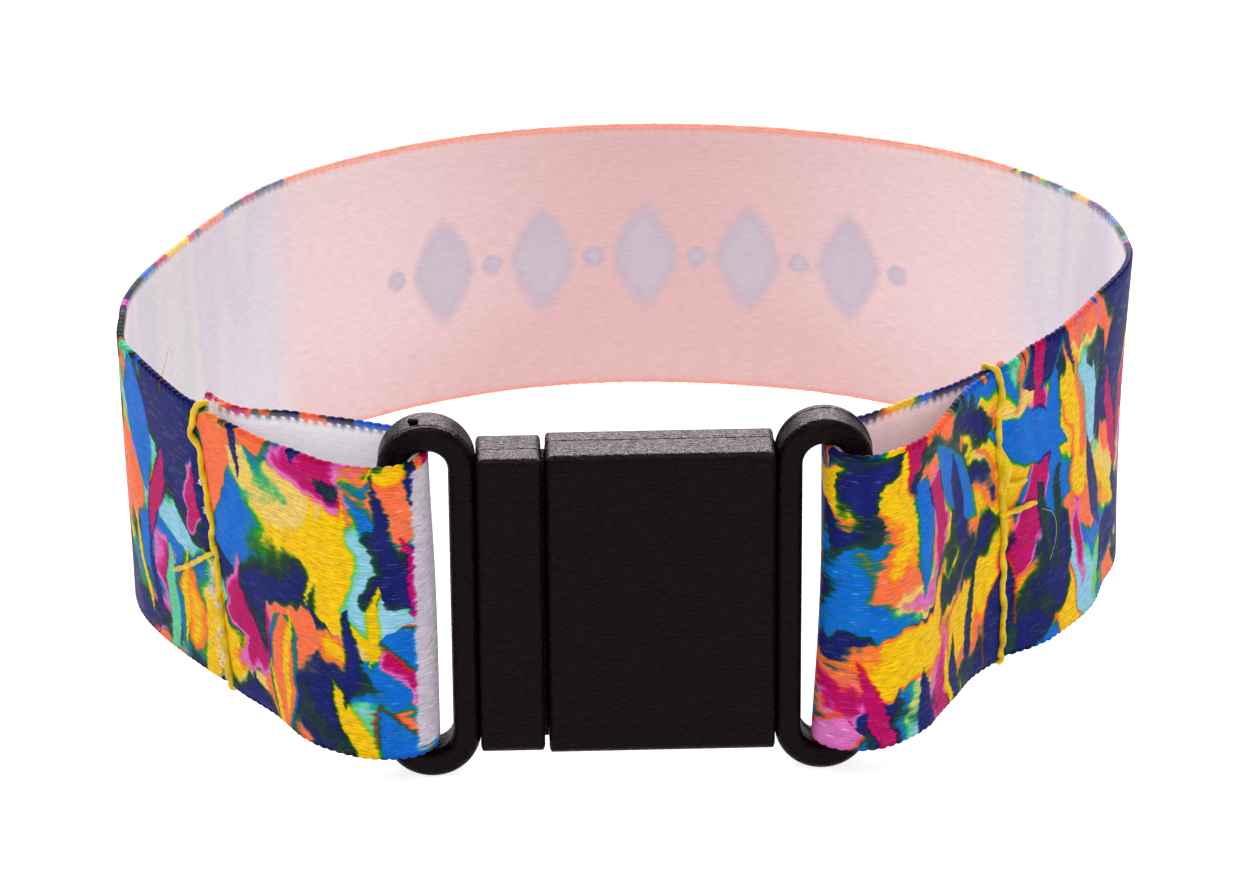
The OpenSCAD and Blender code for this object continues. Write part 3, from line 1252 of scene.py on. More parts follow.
    def surface(self, along: Any, across: Any, out: Any = 0.0) -> np.ndarray:
        """Finds points of the surface.

        Args:
            along: places along the ribbon, or one place.
            across: heights over its lower edge.
            out: distances out of the wall's middle, towards the printed side.

        Returns:
            The points in the upright drawing, in mm.
        """
        along, across, out = np.broadcast_arrays(
            np.asarray(along, float), np.asarray(across, float), np.asarray(out, float)
        )
        columns = (*self.place.T, *self.side.T, self.lean)
        x, y, sx, sy, lean = (np.interp(along, self.run, column) for column in columns)
        reach = lean * (across / self.width - 0.5) + out + self.relief(along, across)
        norm = np.hypot(sx, sy)
        return np.stack([x + sx / norm * reach, y + sy / norm * reach, across], axis=-1)

    def facing(self, along: float, left: bool) -> float:
        """Finds the place on a sewn fold that lies against a place of the band.

        Args:
            along: the place on the band.
            left: whether it is the left fold.

        Returns:
            The place along the ribbon on the fold.
        """
        spot = self.surface(along, self.width / 2)[:2]
        reach = self.seam_reach
        near = self.run < self.start + reach if left else self.run > self.end - reach
        gap = np.linalg.norm(self.place - spot, axis=1) + np.where(near, 0.0, 1e3)
        return float(self.run[int(gap.argmin())])


@dataclass
class Maps:
    """The maps that carry places along and across the ribbon to its finish."""

    name: str = "ribbon_places"
    side: str = "printed_side"
    along: float = 240.0
    across: float = 20.0

    def lay(
        self, mesh: bpy.types.Mesh, along: np.ndarray, across: np.ndarray, side: np.ndarray
    ) -> None:
        """Writes the maps on a mesh.

        Args:
            mesh: the mesh.
            along: each point's place along the ribbon.
            across: each point's height over the lower edge.
            side: 1 on the printed side of each point, and 0 on the bare one.
        """
        corners = np.zeros(len(mesh.loops), np.int32)
        mesh.loops.foreach_get("vertex_index", corners)
        uv = np.stack([along / self.along + 0.5, across / self.across], axis=1)[corners]
        layer = mesh.uv_layers.new(name=self.name)
        layer.data.foreach_set("uv", uv.astype(np.float32).ravel())
        attribute = mesh.attributes.new(self.side, "FLOAT", "POINT")
        attribute.data.foreach_set("value", side.astype(np.float32))


@dataclass
class RibbonStrip:
    """The strip itself: one closed mesh with a printed and a bare face."""

    way: Way
    rest: Rest
    maps: Maps
    thickness: float = 0.5
    stations: int = 820
    columns: int = 25
    margin: float = 0.4  # from the ribbon's edge to the strip's flat part
    rounding: float = 0.16
    bake_rows: int = 2  # how many pieces the long strip is cut into for its flat map
    rounded_step: float = 0.12  # from point to point round an edge

    def build(self, material: bpy.types.Material) -> bpy.types.Object:
        """Makes the strip.

        Args:
            material: its finish.

        Returns:
            The piece.
        """
        way, half = self.way, self.thickness / 2
        along = np.linspace(way.start, way.end, self.stations)
        up = np.linspace(self.margin, way.width - self.margin, self.columns)
        turn = np.radians([-60, -30, 0, 30, 60])
        # Round the section: printed face upwards, top edge, bare face downwards, bottom edge
        bulge, level = self.rounding * np.cos(turn), np.full(self.columns, half)
        across = np.r_[up, up[-1] + bulge, up[::-1], up[0] - bulge]
        out = np.r_[level, -half * np.sin(turn), -level, half * np.sin(turn)]
        ring = len(across)
        points = way.surface(along[:, None], across[None, :], out[None, :])
        shape = Shape()
        shape.add(self.rest.place(points).reshape(-1, 3), tube(self.stations, ring))
        piece = shape.piece("ribbon_strip", material, Slot.RIBBON)
        self.maps.lay(
            piece.data,
            np.repeat(along, ring),
            np.tile(across, self.stations),
            np.tile(out / (2 * half) + 0.5, self.stations),
        )
        self._lay_bake_map(piece.data, along, ring)
        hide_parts("ribbon")
        return piece

    def _lay_bake_map(self, mesh: bpy.types.Mesh, along: np.ndarray, ring: int) -> None:
        """Lays the strip flat in a second map: each side cut into rows, one under another.

        Args:
            mesh: the strip's mesh.
            along: the places of its stations.
            ring: how many points each section has.
        """
        rows, columns = self.bake_rows, self.columns
        per_row = int(math.ceil((self.stations - 1) / rows))
        layer = mesh.uv_layers.new(name="OFBake")
        widths = np.full(ring, (self.way.width - 2 * self.margin) / (columns - 1))
        widths[columns - 1 : columns + 5] = self.rounded_step
        widths[2 * columns + 4 :] = self.rounded_step
        girth = np.r_[0.0, np.cumsum(widths)]
        step = float(along[1] - along[0])
        pitch = 1.0 / rows
        scale = min(0.98 / (per_row * (along[1] - along[0])), (pitch - 0.02) / float(girth[-1]))
        uv = np.zeros((len(mesh.loops), 2), np.float32)
        for polygon in mesh.polygons:
            corners = list(polygon.vertices)
            if len(corners) != 4:
                # The faces at the cut ends get a small disc each, beside the rows
                middle = 0.2 if max(corners) < ring else 0.7
                for k, loop in enumerate(polygon.loop_indices):
                    angle = 2 * math.pi * k / len(corners)
                    uv[loop] = (0.993 + 0.005 * math.cos(angle), middle + 0.005 * math.sin(angle))
                continue
            row = min(corner // ring for corner in corners) // per_row
            wraps = {corner % ring for corner in corners} == {0, ring - 1}
            for loop, corner in zip(polygon.loop_indices, corners):
                place = corner % ring
                if wraps and place == 0:
                    place = ring
                uv[loop] = (
                    0.005 + (corner // ring - row * per_row) * step * scale,
                    0.01 + row * pitch + float(girth[place]) * scale,
                )
        layer.data.foreach_set("uv", uv.ravel())
        mesh.uv_layers[self.maps.name].active_render = True


@dataclass
class Selvedge:
    """One edge of the ribbon: a row of small woven loops that lie side by side."""

    way: Way
    rest: Rest
    maps: Maps
    top: bool
    pitch: float = 0.62
    per_loop: int = 8
    sides: int = 10
    half_thickness: float = 0.25
    half_height: float = 0.27

    def build(self, material: bpy.types.Material) -> bpy.types.Object:
        """Makes the edge.

        Args:
            material: its finish.

        Returns:
            The piece.
        """
        way = self.way
        count = int(way.length / self.pitch) * self.per_loop + 1
        along = np.linspace(way.start, way.end, count)
        phase = (along / self.pitch) % 1.0
        number = np.floor(along / self.pitch).astype(int)
        random = np.random.default_rng(5 if self.top else 6)
        number -= number.min()
        luck = random.uniform(-1, 1, (int(number.max()) + 1, 2))[number]
        # The loops lie flatter along the back and the sides
        bold = np.clip((np.abs(along) - 40.0) / 25.0, 0.35, 1.0)
        hump = 1 - bold * (1 - np.sqrt(np.clip(1 - (2 * phase - 1) ** 2, 0, 1)))
        angle = np.linspace(0, 2 * math.pi, self.sides, endpoint=False)
        thick = self.half_thickness * (0.72 + 0.32 * hump + 0.04 * luck[:, 0])
        high = self.half_height * (0.72 + 0.28 * hump)
        sign = 1.0 if self.top else -1.0
        edge = (way.width if self.top else 0.0) - sign * (
            self.half_height + 0.06 * (1 - hump) + 0.03 * np.abs(luck[:, 1])
        )
        out = thick[:, None] * np.sin(angle)[None, :]
        across = edge[:, None] + sign * high[:, None] * np.cos(angle)[None, :]
        lean = along[:, None] + 0.08 * np.sin(angle)[None, :]
        points = way.surface(lean, across, out)
        faces = tube(count, self.sides)
        if self.top:
            faces = [face[::-1] for face in faces]
        shape = Shape()
        shape.add(self.rest.place(points).reshape(-1, 3), faces)
        name = "selvedge_top" if self.top else "selvedge_bottom"
        piece = shape.piece(name, material, Slot.RIBBON)
        side = 0.75 + 0.45 * np.sin(angle) + 0.2 * np.cos(angle)
        self.maps.lay(
            piece.data,
            np.repeat(along, self.sides),
            np.clip(across.ravel(), 0.05, way.width - 0.05),
            np.tile(np.clip(side, 0, 1), count),
        )
        return piece


@dataclass
class Ribbon:
    """The strip and its two selvedges."""

    way: Way
    rest: Rest
    maps: Maps

    def strip(self, satin: bpy.types.Material) -> bpy.types.Object:
        """Makes the strip of a satin."""
        return RibbonStrip(self.way, self.rest, self.maps).build(satin)

    def edges(self, satin: bpy.types.Material) -> list[bpy.types.Object]:
        """Makes the top and the bottom edge of a satin."""
        return [Selvedge(self.way, self.rest, self.maps, top).build(satin) for top in (True, False)]

    def report_room(self) -> None:
        """Logs how far inside the frame's ribbon the strip lies: low x, y, z, then high x, y, z."""
        low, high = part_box("ribbon")
        along = np.linspace(self.way.start, self.way.end, 800)[:, None]
        points = self.rest.place(self.way.surface(along, np.array([[0.0, self.way.width]])))
        points = points.reshape(-1, 3)
        gaps = np.r_[points.min(0) - np.array(low), np.array(high) - points.max(0)] / MM
        LOG.info("strip inside the frame's ribbon by %s mm", np.round(gaps, 2))


# Sewing


Spots = tuple[tuple[float, float, float], ...]  # places along, across and out of the wall's middle


@dataclass
class Seam:
    """One line of thread that sews a folded end to the band."""

    way: Way
    rest: Rest
    left: bool
    seed: int
    line: tuple[tuple[float, float], ...]  # places along and across, from the top down
    strand: Strand = Strand(0.205, sides=12, ply=2, ply_depth=0.13, twist=1.3, step=0.12)
    stitch: float = 2.35
    wall: float = 0.25
    wander: float = 0.05

    def outer_path(self) -> tuple[np.ndarray, np.ndarray]:
        """Follows the line over the printed face, dipping into the cloth at each stitch.

        Returns:
            The path's points, and how thick the strand is at each.
        """
        flat = smooth_path(self.line, self.strand.step)
        run = np.arange(len(flat)) * self.strand.step
        random = np.random.default_rng(self.seed)
        beat = np.cumsum(random.uniform(0.75, 1.25, len(run) // 4 + 4) * self.stitch)
        phase = np.interp(run, np.r_[0.0, beat], np.arange(len(beat) + 1.0)) % 1.0
        arch = np.sqrt(np.clip(np.sin(math.pi * phase), 0, 1))
        noise = np.convolve(random.normal(0, 1, len(run) + 8), np.hanning(9) / 4, "valid")
        out = self.wall + self.strand.radius * (0.2 + 0.72 * arch)
        sideways = flat[:, 0] + self.wander * noise + 0.08 * np.sin(2 * math.pi * phase)
        path = self.way.surface(sideways, flat[:, 1], out)
        return path, 0.86 + 0.2 * arch

    def over_edge(self, top: bool) -> np.ndarray:
        """Carries the thread round an edge of both layers to the inner face.

        Args:
            top: whether it is the top edge.

        Returns:
            The path's points.
        """
        line = np.array(self.line[:3] if top else self.line[:-4:-1])
        along = line[0, 0]
        inner = self.way.facing(along, self.left)
        edge = self.way.width if top else 0.0
        sign = 1.0 if top else -1.0
        lift = self.strand.radius * (0.4 if top else -0.3)
        r = self.wall + self.strand.radius * 0.8
        spots = [
            self.way.surface(along * 0.4 + line[1, 0] * 0.6, edge - sign * 0.45, self.wall + 0.1),
            self.way.surface(along, edge + sign * (lift * 0.6), self.wall + 0.05),
            self.way.surface(along, edge + sign * lift, -self.wall),
        ]
        if top and self.left:
            # The top of the left seam is caught between the two layers
            spots += [
                self.way.surface(along + 0.25, edge - 0.1, -self.wall - 0.15),
                self.way.surface(along + 0.4, edge - 0.9, -self.wall - 0.1),
            ]
            return smooth_path(spots, self.strand.step)
        spots += [
            self.way.surface(inner, edge + sign * lift * 0.9, self.wall),
            self.way.surface(inner, edge + sign * (lift * 0.3), r * 0.95),
            self.way.surface(inner, edge - sign * 0.6, r * 0.9),
        ]
        return smooth_path(spots, self.strand.step)

    def inner_path(self) -> np.ndarray:
        """Follows the line down the inner face, on the folded end.

        Returns:
            The path's points.
        """
        step, margin = 0.2, 0.5
        flat = smooth_path(self.line, step)
        flat = flat[(flat[:, 1] > margin) & (flat[:, 1] < self.way.width - margin)]
        run = np.arange(len(flat)) * step
        arch = np.sqrt(np.abs(np.sin(math.pi * run / self.stitch)))
        middle = self.way.facing(float(flat[:, 0].mean()), self.left)
        along = middle - (flat[:, 0] - flat[:, 0].mean())
        out = self.wall + self.strand.radius * (0.1 + 0.75 * arch)
        return self.way.surface(along, flat[:, 1], out)

    def build(self, material: bpy.types.Material) -> bpy.types.Object:
        """Makes the thread.

        Args:
            material: its finish.

        Returns:
            The piece.
        """
        shape = Shape()
        points, faces = self.strand.along(*self.outer_path())
        shape.add(self.rest.place(points), faces)
        for path in (self.over_edge(True), self.over_edge(False), self.inner_path()):
            points, faces = self.strand.along(path)
            shape.add(self.rest.place(points), faces)
        name = "seam_thread_left" if self.left else "seam_thread_right"
        return shape.piece(name, material, Slot.RIBBON)


@dataclass
class ThreadEnds:
    """The second run of thread, the knot and the cut tails on the printed face."""

    way: Way
    rest: Rest
    thin: Strand = Strand(0.19, sides=10, ply=2, ply_depth=0.16, twist=1.2, taper=0.2, step=0.12)
    fat: Strand = Strand(0.5, sides=16, ply=2, ply_depth=0.05, twist=2.2, taper=0.7, step=0.1)
    doubled: Spots = (
        (-68.5, 9.3, 0.3),
        (-68.3, 8.3, 0.42),
        (-68.15, 6.9, 0.4),
        (-67.95, 5.6, 0.44),
        (-67.95, 4.4, 0.42),
        (-67.98, 3.2, 0.44),
        (-68.02, 1.9, 0.4),
        (-68.1, 0.6, 0.4),
    )
    left_tail: Spots = (
        (-68.3, 9.7, 0.4),
        (-67.7, 9.35, 0.66),
        (-66.6, 8.6, 0.6),
        (-65.2, 7.7, 0.48),
        (-63.8, 6.9, 0.46),
        (-63.0, 6.5, 0.5),
    )
    knot: Spots = (
        (69.35, 15.6, 0.4),
        (69.2, 14.7, 0.46),
        (69.0, 13.7, 0.56),
        (68.9, 12.9, 0.58),
        (68.9, 12.2, 0.5),
        (69.05, 11.3, 0.4),
    )
    stub: Spots = (
        (69.0, 12.4, 0.5),
        (68.4, 12.15, 0.62),
        (67.7, 12.0, 0.52),
        (67.1, 11.95, 0.42),
        (66.75, 11.95, 0.36),
    )
    right_tail: Spots = (
        (69.4, 10.3, 0.42),
        (68.8, 10.3, 0.6),
        (67.9, 10.25, 0.54),
        (67.0, 10.2, 0.46),
        (66.3, 10.15, 0.46),
        (65.95, 10.1, 0.5),
    )

    def build(self, material: bpy.types.Material) -> bpy.types.Object:
        """Makes the ends.

        Args:
            material: their finish.

        Returns:
            The piece.
        """
        shape = Shape()
        for spots in (self.doubled, self.left_tail, self.knot, self.stub, self.right_tail):
            strand = self.fat if spots is self.knot else self.thin
            path = self.way.surface(*smooth_path(spots, strand.step).T)
            swell = None
            if strand is self.fat:
                # The knot is a drop, thin at both ends
                from_middle = np.linspace(-0.5, 0.5, len(path))
                swell = 0.34 + 0.66 * np.exp(-((from_middle / 0.25) ** 2))
            points, faces = strand.along(path, swell)
            shape.add(self.rest.place(points), faces)
        return shape.piece("thread_ends", material, Slot.RIBBON)


@dataclass(frozen=True)
class Tuft:
    """A bundle of loose fibres that leave one spot of the ribbon."""

    along: float
    across: float
    out: float
    spread: tuple[float, float, float]  # along, across and out: how far the roots lie apart
    lean: tuple[float, float, float]  # the way that the fibres point
    count: int
    length: float


@dataclass
class Fibres:
    """Frayed yarn at the cut ends and fine hairs on the cloth."""

    way: Way
    rest: Rest
    name: str
    tufts: tuple[Tuft, ...]
    radius: float = 0.018
    seed: int = 21
    wall: float = 0.25
    clear: float = 0.02  # between a fibre and the cloth, at least
    hairs: tuple[Spots, ...] = ()

    def build(self, material: bpy.types.Material) -> bpy.types.Object:
        """Makes the fibres.

        Args:
            material: their finish.

        Returns:
            The piece.
        """
        random = np.random.default_rng(self.seed)
        shape = Shape()
        strand = Strand(self.radius, sides=4, taper=0.5)
        t = np.linspace(0, 1, 7)[:, None]
        for tuft in self.tufts:
            for _ in range(tuft.count):
                root = np.array([tuft.along, tuft.across, tuft.out])
                root = root + random.uniform(-1, 1, 3) * tuft.spread
                heading = unit(np.array(tuft.lean) + random.normal(0, 0.7, 3))
                reach = tuft.length * random.uniform(0.4, 1.2)
                bend = random.normal(0, 0.35, 3) * reach
                flat = root + heading * reach * t + bend * (t * t - t * 0.4)
                if tuft.out > 0:
                    flat[:, 2] = np.maximum(flat[:, 2], self.wall + self.clear)
                points, faces = strand.along(self.way.surface(*flat.T))
                shape.add(self.rest.place(points), faces)
        fine = Strand(self.radius * 0.7, sides=5, taper=0.3)
        for spots in self.hairs:
            points, faces = fine.along(self.way.surface(*smooth_path(spots, 0.12).T))
            shape.add(self.rest.place(points), faces)
        return shape.piece(self.name, material, Slot.RIBBON)


@dataclass
class Sewing:
    """Both seams and their loose ends."""

    way: Way
    rest: Rest
    left_line: tuple[tuple[float, float], ...] = (
        (-68.5, 19.97),
        (-67.7, 18.9),
        (-67.45, 17.9),
        (-68.05, 17.0),
        (-68.15, 15.2),
        (-68.3, 13.6),
        (-68.5, 11.9),
        (-68.3, 10.5),
        (-68.6, 9.4),
        (-68.6, 8.2),
        (-68.25, 6.3),
        (-68.3, 4.5),
        (-68.3, 2.8),
        (-68.4, 0.4),
    )
    right_line: tuple[tuple[float, float], ...] = (
        (69.2, 20.0),
        (68.85, 19.2),
        (68.8, 18.4),
        (69.15, 17.2),
        (69.4, 16.0),
        (69.25, 14.6),
        (69.2, 13.4),
        (69.05, 11.1),
        (68.95, 9.1),
        (69.05, 7.1),
        (69.0, 4.3),
        (69.05, 2.3),
        (69.3, 0.4),
    )

    def build(self, thread: bpy.types.Material) -> list[bpy.types.Object]:
        """Sews the seams.

        Args:
            thread: the finish.

        Returns:
            The pieces.
        """
        return [
            Seam(self.way, self.rest, True, 3, self.left_line).build(thread),
            Seam(self.way, self.rest, False, 4, self.right_line).build(thread),
            ThreadEnds(self.way, self.rest).build(thread),
        ]


@dataclass
class Fraying:
    """The fluff of the cut ends and of the thread, and a few hairs."""

    way: Way
    rest: Rest
    # Fluff beside the left seam and on its thread, and at the top of the left cut end
    white_tufts: tuple[Tuft, ...] = (
        Tuft(-67.85, 6.8, 0.34, (0.2, 0.3, 0.06), (0.9, -0.5, 0.3), 170, 0.6),
        Tuft(-67.95, 7.8, 0.32, (0.15, 0.4, 0.06), (0.7, 0.2, 0.3), 60, 0.4),
        Tuft(-67.9, 5.0, 0.32, (0.25, 1.0, 0.05), (0.5, -3.0, 0.2), 30, 1.2),
        Tuft(-67.8, 3.0, 0.32, (0.25, 0.8, 0.05), (0.5, -3.0, 0.2), 24, 1.1),
        Tuft(-67.8, 1.5, 0.3, (0.3, 0.9, 0.08), (0.5, -0.2, 0.3), 60, 0.5),
        Tuft(-68.2, 14.7, 0.64, (0.09, 0.2, 0.05), (0.5, 0.5, 0.3), 90, 0.18),
        Tuft(-68.35, 12.8, 0.64, (0.09, 0.22, 0.05), (0.5, 0.5, 0.3), 90, 0.18),
        Tuft(-68.3, 8.5, 0.6, (0.2, 0.22, 0.05), (0.5, 0.5, 0.3), 110, 0.2),
        Tuft(-68.4, 6.1, 0.66, (0.12, 0.2, 0.05), (-0.3, 0.5, 0.3), 90, 0.18),
        Tuft(-68.5, 4.3, 0.66, (0.12, 0.25, 0.05), (-0.3, 0.5, 0.3), 100, 0.18),
        Tuft(-68.5, 2.4, 0.66, (0.12, 0.25, 0.05), (-0.3, 0.5, 0.3), 90, 0.18),
        Tuft(-68.5, 19.9, -0.7, (0.45, 0.12, 0.3), (-0.9, 0.1, -0.2), 120, 0.5),
    )
    white_hairs: tuple[Spots, ...] = (
        ((65.2, 9.4, 0.4), (64.2, 8.8, 0.5), (63.6, 7.9, 0.4), (63.9, 6.9, 0.5), (64.6, 5.6, 0.4)),
        ((46.6, 8.0, -0.35), (47.6, 10.4, -0.9), (49.4, 12.4, -0.7), (51.0, 13.4, -0.4)),
    )
    dark_hairs: tuple[Spots, ...] = (
        (
            (-44.6, 9.6, -0.3),
            (-45.0, 11.6, -0.5),
            (-44.9, 13.2, -0.9),
            (-44.2, 14.3, -1.0),
            (-43.4, 14.0, -0.8),
            (-42.6, 13.0, -0.5),
        ),
        ((-92.7, 20.0, 0.0), (-92.4, 20.7, -0.1), (-92.9, 21.2, -0.1)),
    )

    def build(self) -> list[bpy.types.Object]:
        """Makes the fibres with their finishes.

        Returns:
            The pieces.
        """
        white = SewingThread("white_yarn", (240, 236, 236), (214, 206, 206)).dress()
        orange = SewingThread("orange_yarn", (246, 140, 96), (224, 92, 60)).dress()
        dark = SewingThread("dark_hair", (120, 104, 100), (80, 68, 66)).dress()
        way, rest = self.way, self.rest
        # Yarn that comes out all along each cut, and a tuft at the left cut's upper corner
        cuts = tuple(
            Tuft(place, 9.9, 0.0, (0.15, 9.5, 0.2), (outwards, 0.1, 0.3), 260, 0.7)
            for place, outwards in ((way.start, -1.0), (way.end, 1.0))
        )
        corner = Tuft(way.start, 19.3, 0.0, (0.2, 0.5, 0.2), (-1.0, 0.6, 0.1), 60, 0.5)
        tufts = self.white_tufts + cuts
        return [
            Fibres(way, rest, "frayed_white", tufts, 0.013, hairs=self.white_hairs).build(white),
            Fibres(way, rest, "frayed_orange", (corner,), seed=22).build(orange),
            Fibres(way, rest, "loose_hairs", (), 0.015, hairs=self.dark_hairs).build(dark),
        ]


# The clasp


@dataclass
class ClaspHalf:
    """One half of the clasp: the frame's solid in moulded plastic, and the fine line that the two
    parts of its mould left all round it."""

    node: str
    label: str
    rest: Rest
    ring_x: float
    block_x: float
    block_width: float
    block_height: float
    clasp_z: float = 9.9
    ring_width: float = 6.0
    ring_height: float = 23.8
    ring_bar: float = 1.65
    edge: float = 0.45
    ring_line_y: float = -26.45
    block_line_y: float = -25.6
    line_radius: float = 0.1
    ring_proud: float = 0.05
    block_proud: float = 0.04
    floor_gap: float = 0.13  # from the ring's lowest point up to its line
    line_sides: int = 8
    corner_steps: int = 14
    marks: tuple[tuple[float, float, float, float], ...] = ()  # x, y, z and size of each mould mark
    # Lowest and highest corners of the thin plates that close the gap between the halves
    plates: tuple[tuple[tuple[float, float, float], tuple[float, float, float]], ...] = ()

    def dress(self, material: bpy.types.Material) -> None:
        """Gives the solid its finish.

        Args:
            material: the finish.
        """
        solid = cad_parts[self.node]
        solid.data.materials.clear()
        solid.data.materials.append(material)

    def _outline(
        self, width: float, height: float, radius: float, x: float, y: float
    ) -> np.ndarray:
        """Draws an upright rectangle with round corners.

        Args:
            width: its width.
            height: its height.
            radius: of its corners.
            x: its middle.
            y: its depth.

        Returns:
            Its points, in order round it.
        """
        corners = []
        for quarter, (i, j) in enumerate(((1, 1), (-1, 1), (-1, -1), (1, -1))):
            angle = np.radians(np.linspace(0, 90, self.corner_steps) + 90 * quarter)
            out = x + i * (width / 2 - radius) + radius * np.cos(angle)
            up = self.clasp_z + j * (height / 2 - radius) + radius * np.sin(angle)
            corners.append(np.stack([out, np.full(self.corner_steps, y), up], axis=1))
        return np.concatenate(corners)

    def build(self, material: bpy.types.Material) -> bpy.types.Object:
        """Makes the mould's line and marks.

        Args:
            material: their finish.

        Returns:
            The piece.
        """
        inset = self.line_radius - self.ring_proud
        ring_w, ring_h = self.ring_width - 2 * inset, self.ring_height - 2 * inset
        hole_w = self.ring_width - 2 * self.ring_bar + 2 * inset
        hole_h = self.ring_height - 2 * self.ring_bar + 2 * inset
        sunk = self.line_radius - self.block_proud
        loops = [
            self._outline(ring_w, ring_h, ring_w / 2, self.ring_x, self.ring_line_y),
            self._outline(hole_w, hole_h, hole_w / 2, self.ring_x, self.ring_line_y),
            self._outline(
                self.block_width - 2 * sunk,
                self.block_height - 2 * sunk,
                self.edge - sunk,
                self.block_x,
                self.block_line_y,
            ),
        ]
        shape = Shape()
        sides = self.line_sides
        angle = np.linspace(0, 2 * math.pi, sides, endpoint=False)
        deep = np.array([0.0, 1.0, 0.0])
        lowest = self.clasp_z - self.ring_height / 2 + self.floor_gap
        for loop in loops:
            ahead = unit(np.roll(loop, -1, axis=0) - np.roll(loop, 1, axis=0))
            other = np.cross(ahead, deep)
            points = (
                loop[:, None, :]
                + deep * (self.line_radius * np.cos(angle))[None, :, None]
                + other[:, None, :] * (self.line_radius * np.sin(angle))[None, :, None]
            )
            flat = points.reshape(-1, 3)
            flat[:, 2] = np.maximum(flat[:, 2], lowest)
            shape.add(self.rest.place(flat), tube(len(loop), sides, closed=True))
        for x, y, z, size in self.marks:
            self._mark(shape, np.array([x, y, z]), size)
        for low, high in self.plates:
            self._plate(shape, np.array(low), np.array(high))
        return shape.piece(f"{self.label}_mould_line", material, Slot.CLASP)

    def _mark(self, shape: Shape, middle: np.ndarray, size: float) -> None:
        """Adds the small round mark where the plastic ran into the mould.

        Args:
            shape: what it is added to.
            middle: its middle, in the upright drawing.
            size: its radius.
        """
        rings, sides = 7, 12
        points = []
        for i in range(rings):
            t = math.pi * (i + 0.5) / rings
            for j in range(sides):
                a = 2 * math.pi * j / sides
                flat = (math.sin(t) * math.cos(a) * 1.3, math.sin(t) * math.sin(a))
                points.append(middle + size * np.array((*flat, 0.7 * math.cos(t))))
        shape.add(self.rest.place(np.array(points)), tube(rings, sides))

    def _plate(self, shape: Shape, low: np.ndarray, high: np.ndarray) -> None:
        """Adds a thin upright plate.

        Args:
            shape: what it is added to.
            low: its lowest corner, in the upright drawing.
            high: its highest corner.
        """
        x, y, z = np.stack([low, high], axis=1)
        points = np.array([(x[i], y[j], z[k]) for i in (0, 1) for j in (0, 1) for k in (0, 1)])
        faces = [(0, 1, 3, 2), (4, 6, 7, 5), (0, 4, 5, 1), (2, 3, 7, 6), (0, 2, 6, 4), (1, 5, 7, 3)]
        shape.add(self.rest.place(points), faces)


@dataclass
class Clasp:
    """The two halves, pushed together."""

    rest: Rest

    def halves(self) -> tuple[ClaspHalf, ClaspHalf]:
        """Names the halves and places what is added to them.

        Returns:
            The half with the tongue and the half with the socket.
        """
        return (
            ClaspHalf(
                "clasp_tongue_half",
                "tongue_half",
                self.rest,
                ring_x=-13.285,
                block_x=-8.285,
                block_width=4.0,
                block_height=19.9,
                block_line_y=-26.35,
                ring_line_y=-26.95,
                marks=((-14.05, -26.35, 21.8, 0.27),),
                plates=(((-6.5, -27.3, 0.7), (-6.05, -25.1, 19.25)),),
            ),
            ClaspHalf(
                "clasp_socket_half",
                "socket_half",
                self.rest,
                ring_x=11.015,
                block_x=0.99,
                block_width=14.05,
                block_height=20.2,
                ring_line_y=-25.45,
            ),
        )

    def build(self, plastic: bpy.types.Material) -> list[bpy.types.Object]:
        """Dresses both halves and adds their lines.

        Args:
            plastic: their finish.

        Returns:
            The pieces that are added.
        """
        pieces = []
        for half in self.halves():
            half.dress(plastic)
            pieces.append(half.build(plastic))
        return pieces


# The studio


@dataclass(frozen=True)
class Lamp:
    """A soft box that points at the band."""

    name: str
    place: tuple[float, float, float]  # metres
    size: tuple[float, float]  # metres
    radiance: float  # how bright its face is, where 1 is as bright as white paper
    colour: tuple[float, float, float] = (1.0, 1.0, 1.0)

    def hang(self) -> bpy.types.Object:
        """Hangs the lamp.

        Returns:
            The lamp.
        """
        data = bpy.data.lights.new(self.name, "AREA")
        data.shape = "RECTANGLE"
        data.size, data.size_y = self.size
        data.energy = self.radiance * math.pi * self.size[0] * self.size[1]
        data.color = self.colour
        made = bpy.data.objects.new(self.name, data)
        made.location = self.place
        to_band = Vector((0, 0, 0.01)) - Vector(self.place)
        made.rotation_euler = to_band.to_track_quat("-Z", "Y").to_euler()
        bpy.context.scene.collection.objects.link(made)
        return made


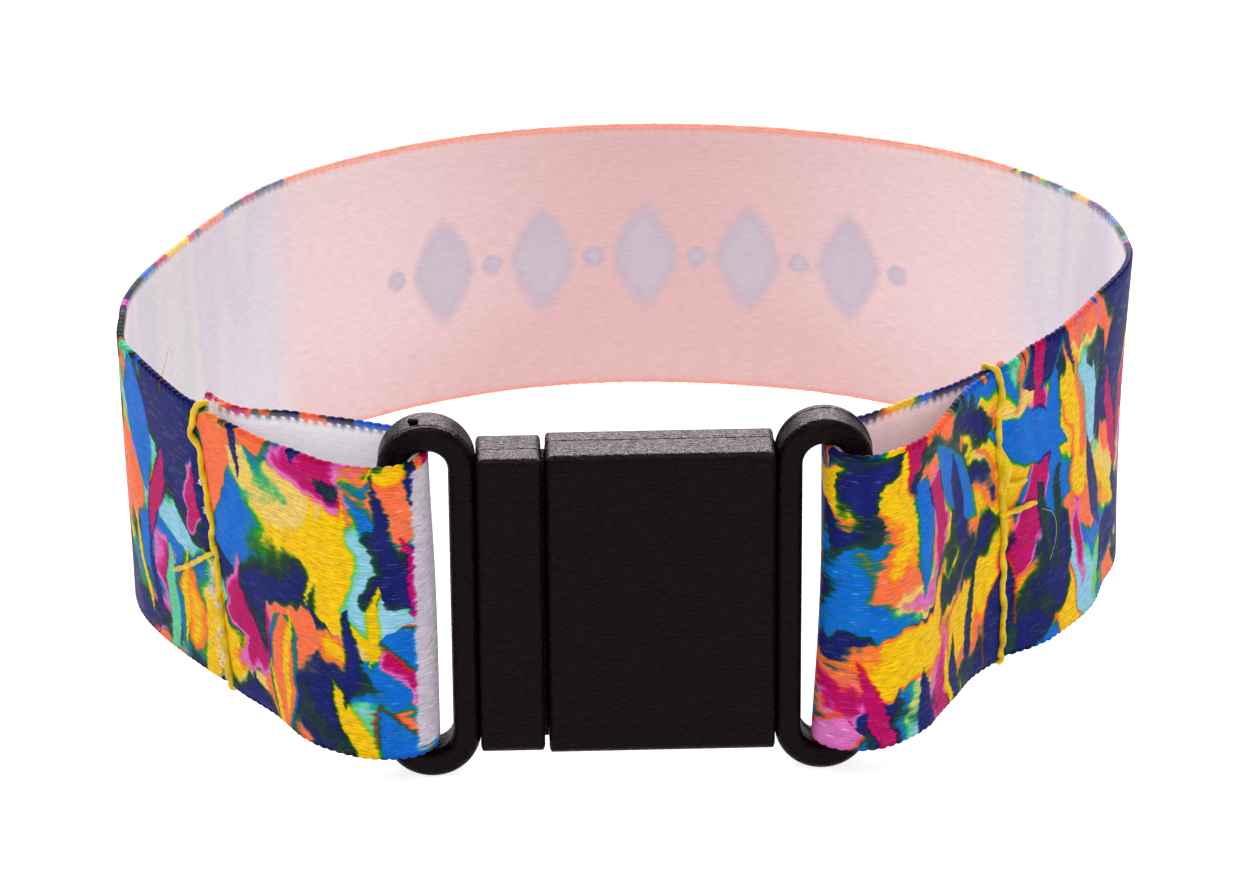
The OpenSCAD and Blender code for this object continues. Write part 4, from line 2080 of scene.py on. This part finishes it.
@dataclass
class Studio:
    """Camera, lights and floor."""

    camera_place: tuple[float, float, float] = (-0.01001, -0.31639, 0.16359)
    camera_way: tuple[float, float, float] = (0.02710, 0.89846, -0.43821)
    camera_roll_deg: float = -0.36
    lens: float = 152.64
    floor_half: float = 3.0
    world_strength: float = 0.31
    lamps: tuple[Lamp, ...] = (
        Lamp("soft_box_back", (0.0, 1.15, 0.62), (1.5, 0.24), 30.5, (1.0, 0.87, 0.94)),
        Lamp("soft_box_front", (-0.1, -1.2, 0.45), (1.0, 0.6), 1.9),
        Lamp("soft_box_left", (-1.15, -0.15, 0.75), (0.9, 0.9), 1.1),
        Lamp("soft_box_right", (1.15, -0.15, 0.75), (0.9, 0.9), 1.2),
        Lamp("soft_box_top", (0.0, -0.2, 1.3), (1.2, 0.8), 4.2),
    )

    def camera(self) -> bpy.types.Object:
        """Sets up the camera.

        Returns:
            The camera.
        """
        data = bpy.data.cameras.new("camera")
        data.sensor_fit = "HORIZONTAL"
        data.sensor_width = 36.0
        data.lens = self.lens
        data.clip_start, data.clip_end = 0.01, 20.0
        made = bpy.data.objects.new("camera", data)
        forward = Vector(self.camera_way).normalized()
        right = forward.cross(Vector((0, 0, 1))).normalized()
        up = right.cross(forward)
        roll = math.radians(self.camera_roll_deg)
        x_axis = right * math.cos(roll) + up * math.sin(roll)
        y_axis = up * math.cos(roll) - right * math.sin(roll)
        turn = Matrix((x_axis, y_axis, -forward)).transposed().to_4x4()
        made.matrix_world = Matrix.Translation(self.camera_place) @ turn
        bpy.context.scene.collection.objects.link(made)
        bpy.context.scene.camera = made
        return made

    def floor(self) -> bpy.types.Object:
        """Lays the floor.

        Returns:
            The floor.
        """
        h = self.floor_half
        mesh = bpy.data.meshes.new("floor")
        mesh.from_pydata([(-h, -h, 0), (h, -h, 0), (h, h, 0), (-h, h, 0)], [], [(0, 1, 2, 3)])
        mesh.materials.append(StudioGround().dress())
        made = bpy.data.objects.new("floor", mesh)
        bpy.context.scene.collection.objects.link(made)
        return made

    def build(self) -> None:
        """Sets up everything round the band."""
        self.camera()
        self.floor()
        for lamp in self.lamps:
            lamp.hang()
        world = bpy.data.worlds.new("studio")
        bpy.context.scene.world = world
        world.use_nodes = True
        ground = world.node_tree.nodes["Background"]
        ground.inputs["Color"].default_value = (1.0, 1.0, 1.0, 1.0)
        ground.inputs["Strength"].default_value = self.world_strength
        bpy.context.scene.view_settings.view_transform = "Standard"


def report(pieces: Sequence[bpy.types.Object]) -> None:
    """Logs the name and the number of faces of each piece."""
    for piece in pieces:
        LOG.info("%s: %d faces", piece.name, len(piece.data.polygons))


def main() -> None:
    """Builds the wristband and its studio."""
    logging.basicConfig(level=logging.INFO, format="%(name)s: %(message)s")
    Studio().build()
    rest, way, maps = Rest(), Way(), Maps()

    ribbon = Ribbon(way, rest, maps)
    ribbon.report_room()
    satin = PrintedSatin(way.width, maps).dress()
    strip = ribbon.strip(satin)
    edges = ribbon.edges(satin)
    report([strip, *edges])

    seams = Sewing(way, rest).build(SewingThread().dress())
    report(seams)
    fibres = Fraying(way, rest).build()
    report(fibres)
    way.width * MM
    edges + seams + fibres

    report(Clasp(rest).build(MouldedPlastic().dress()))


if __name__ == "__main__":
    main()
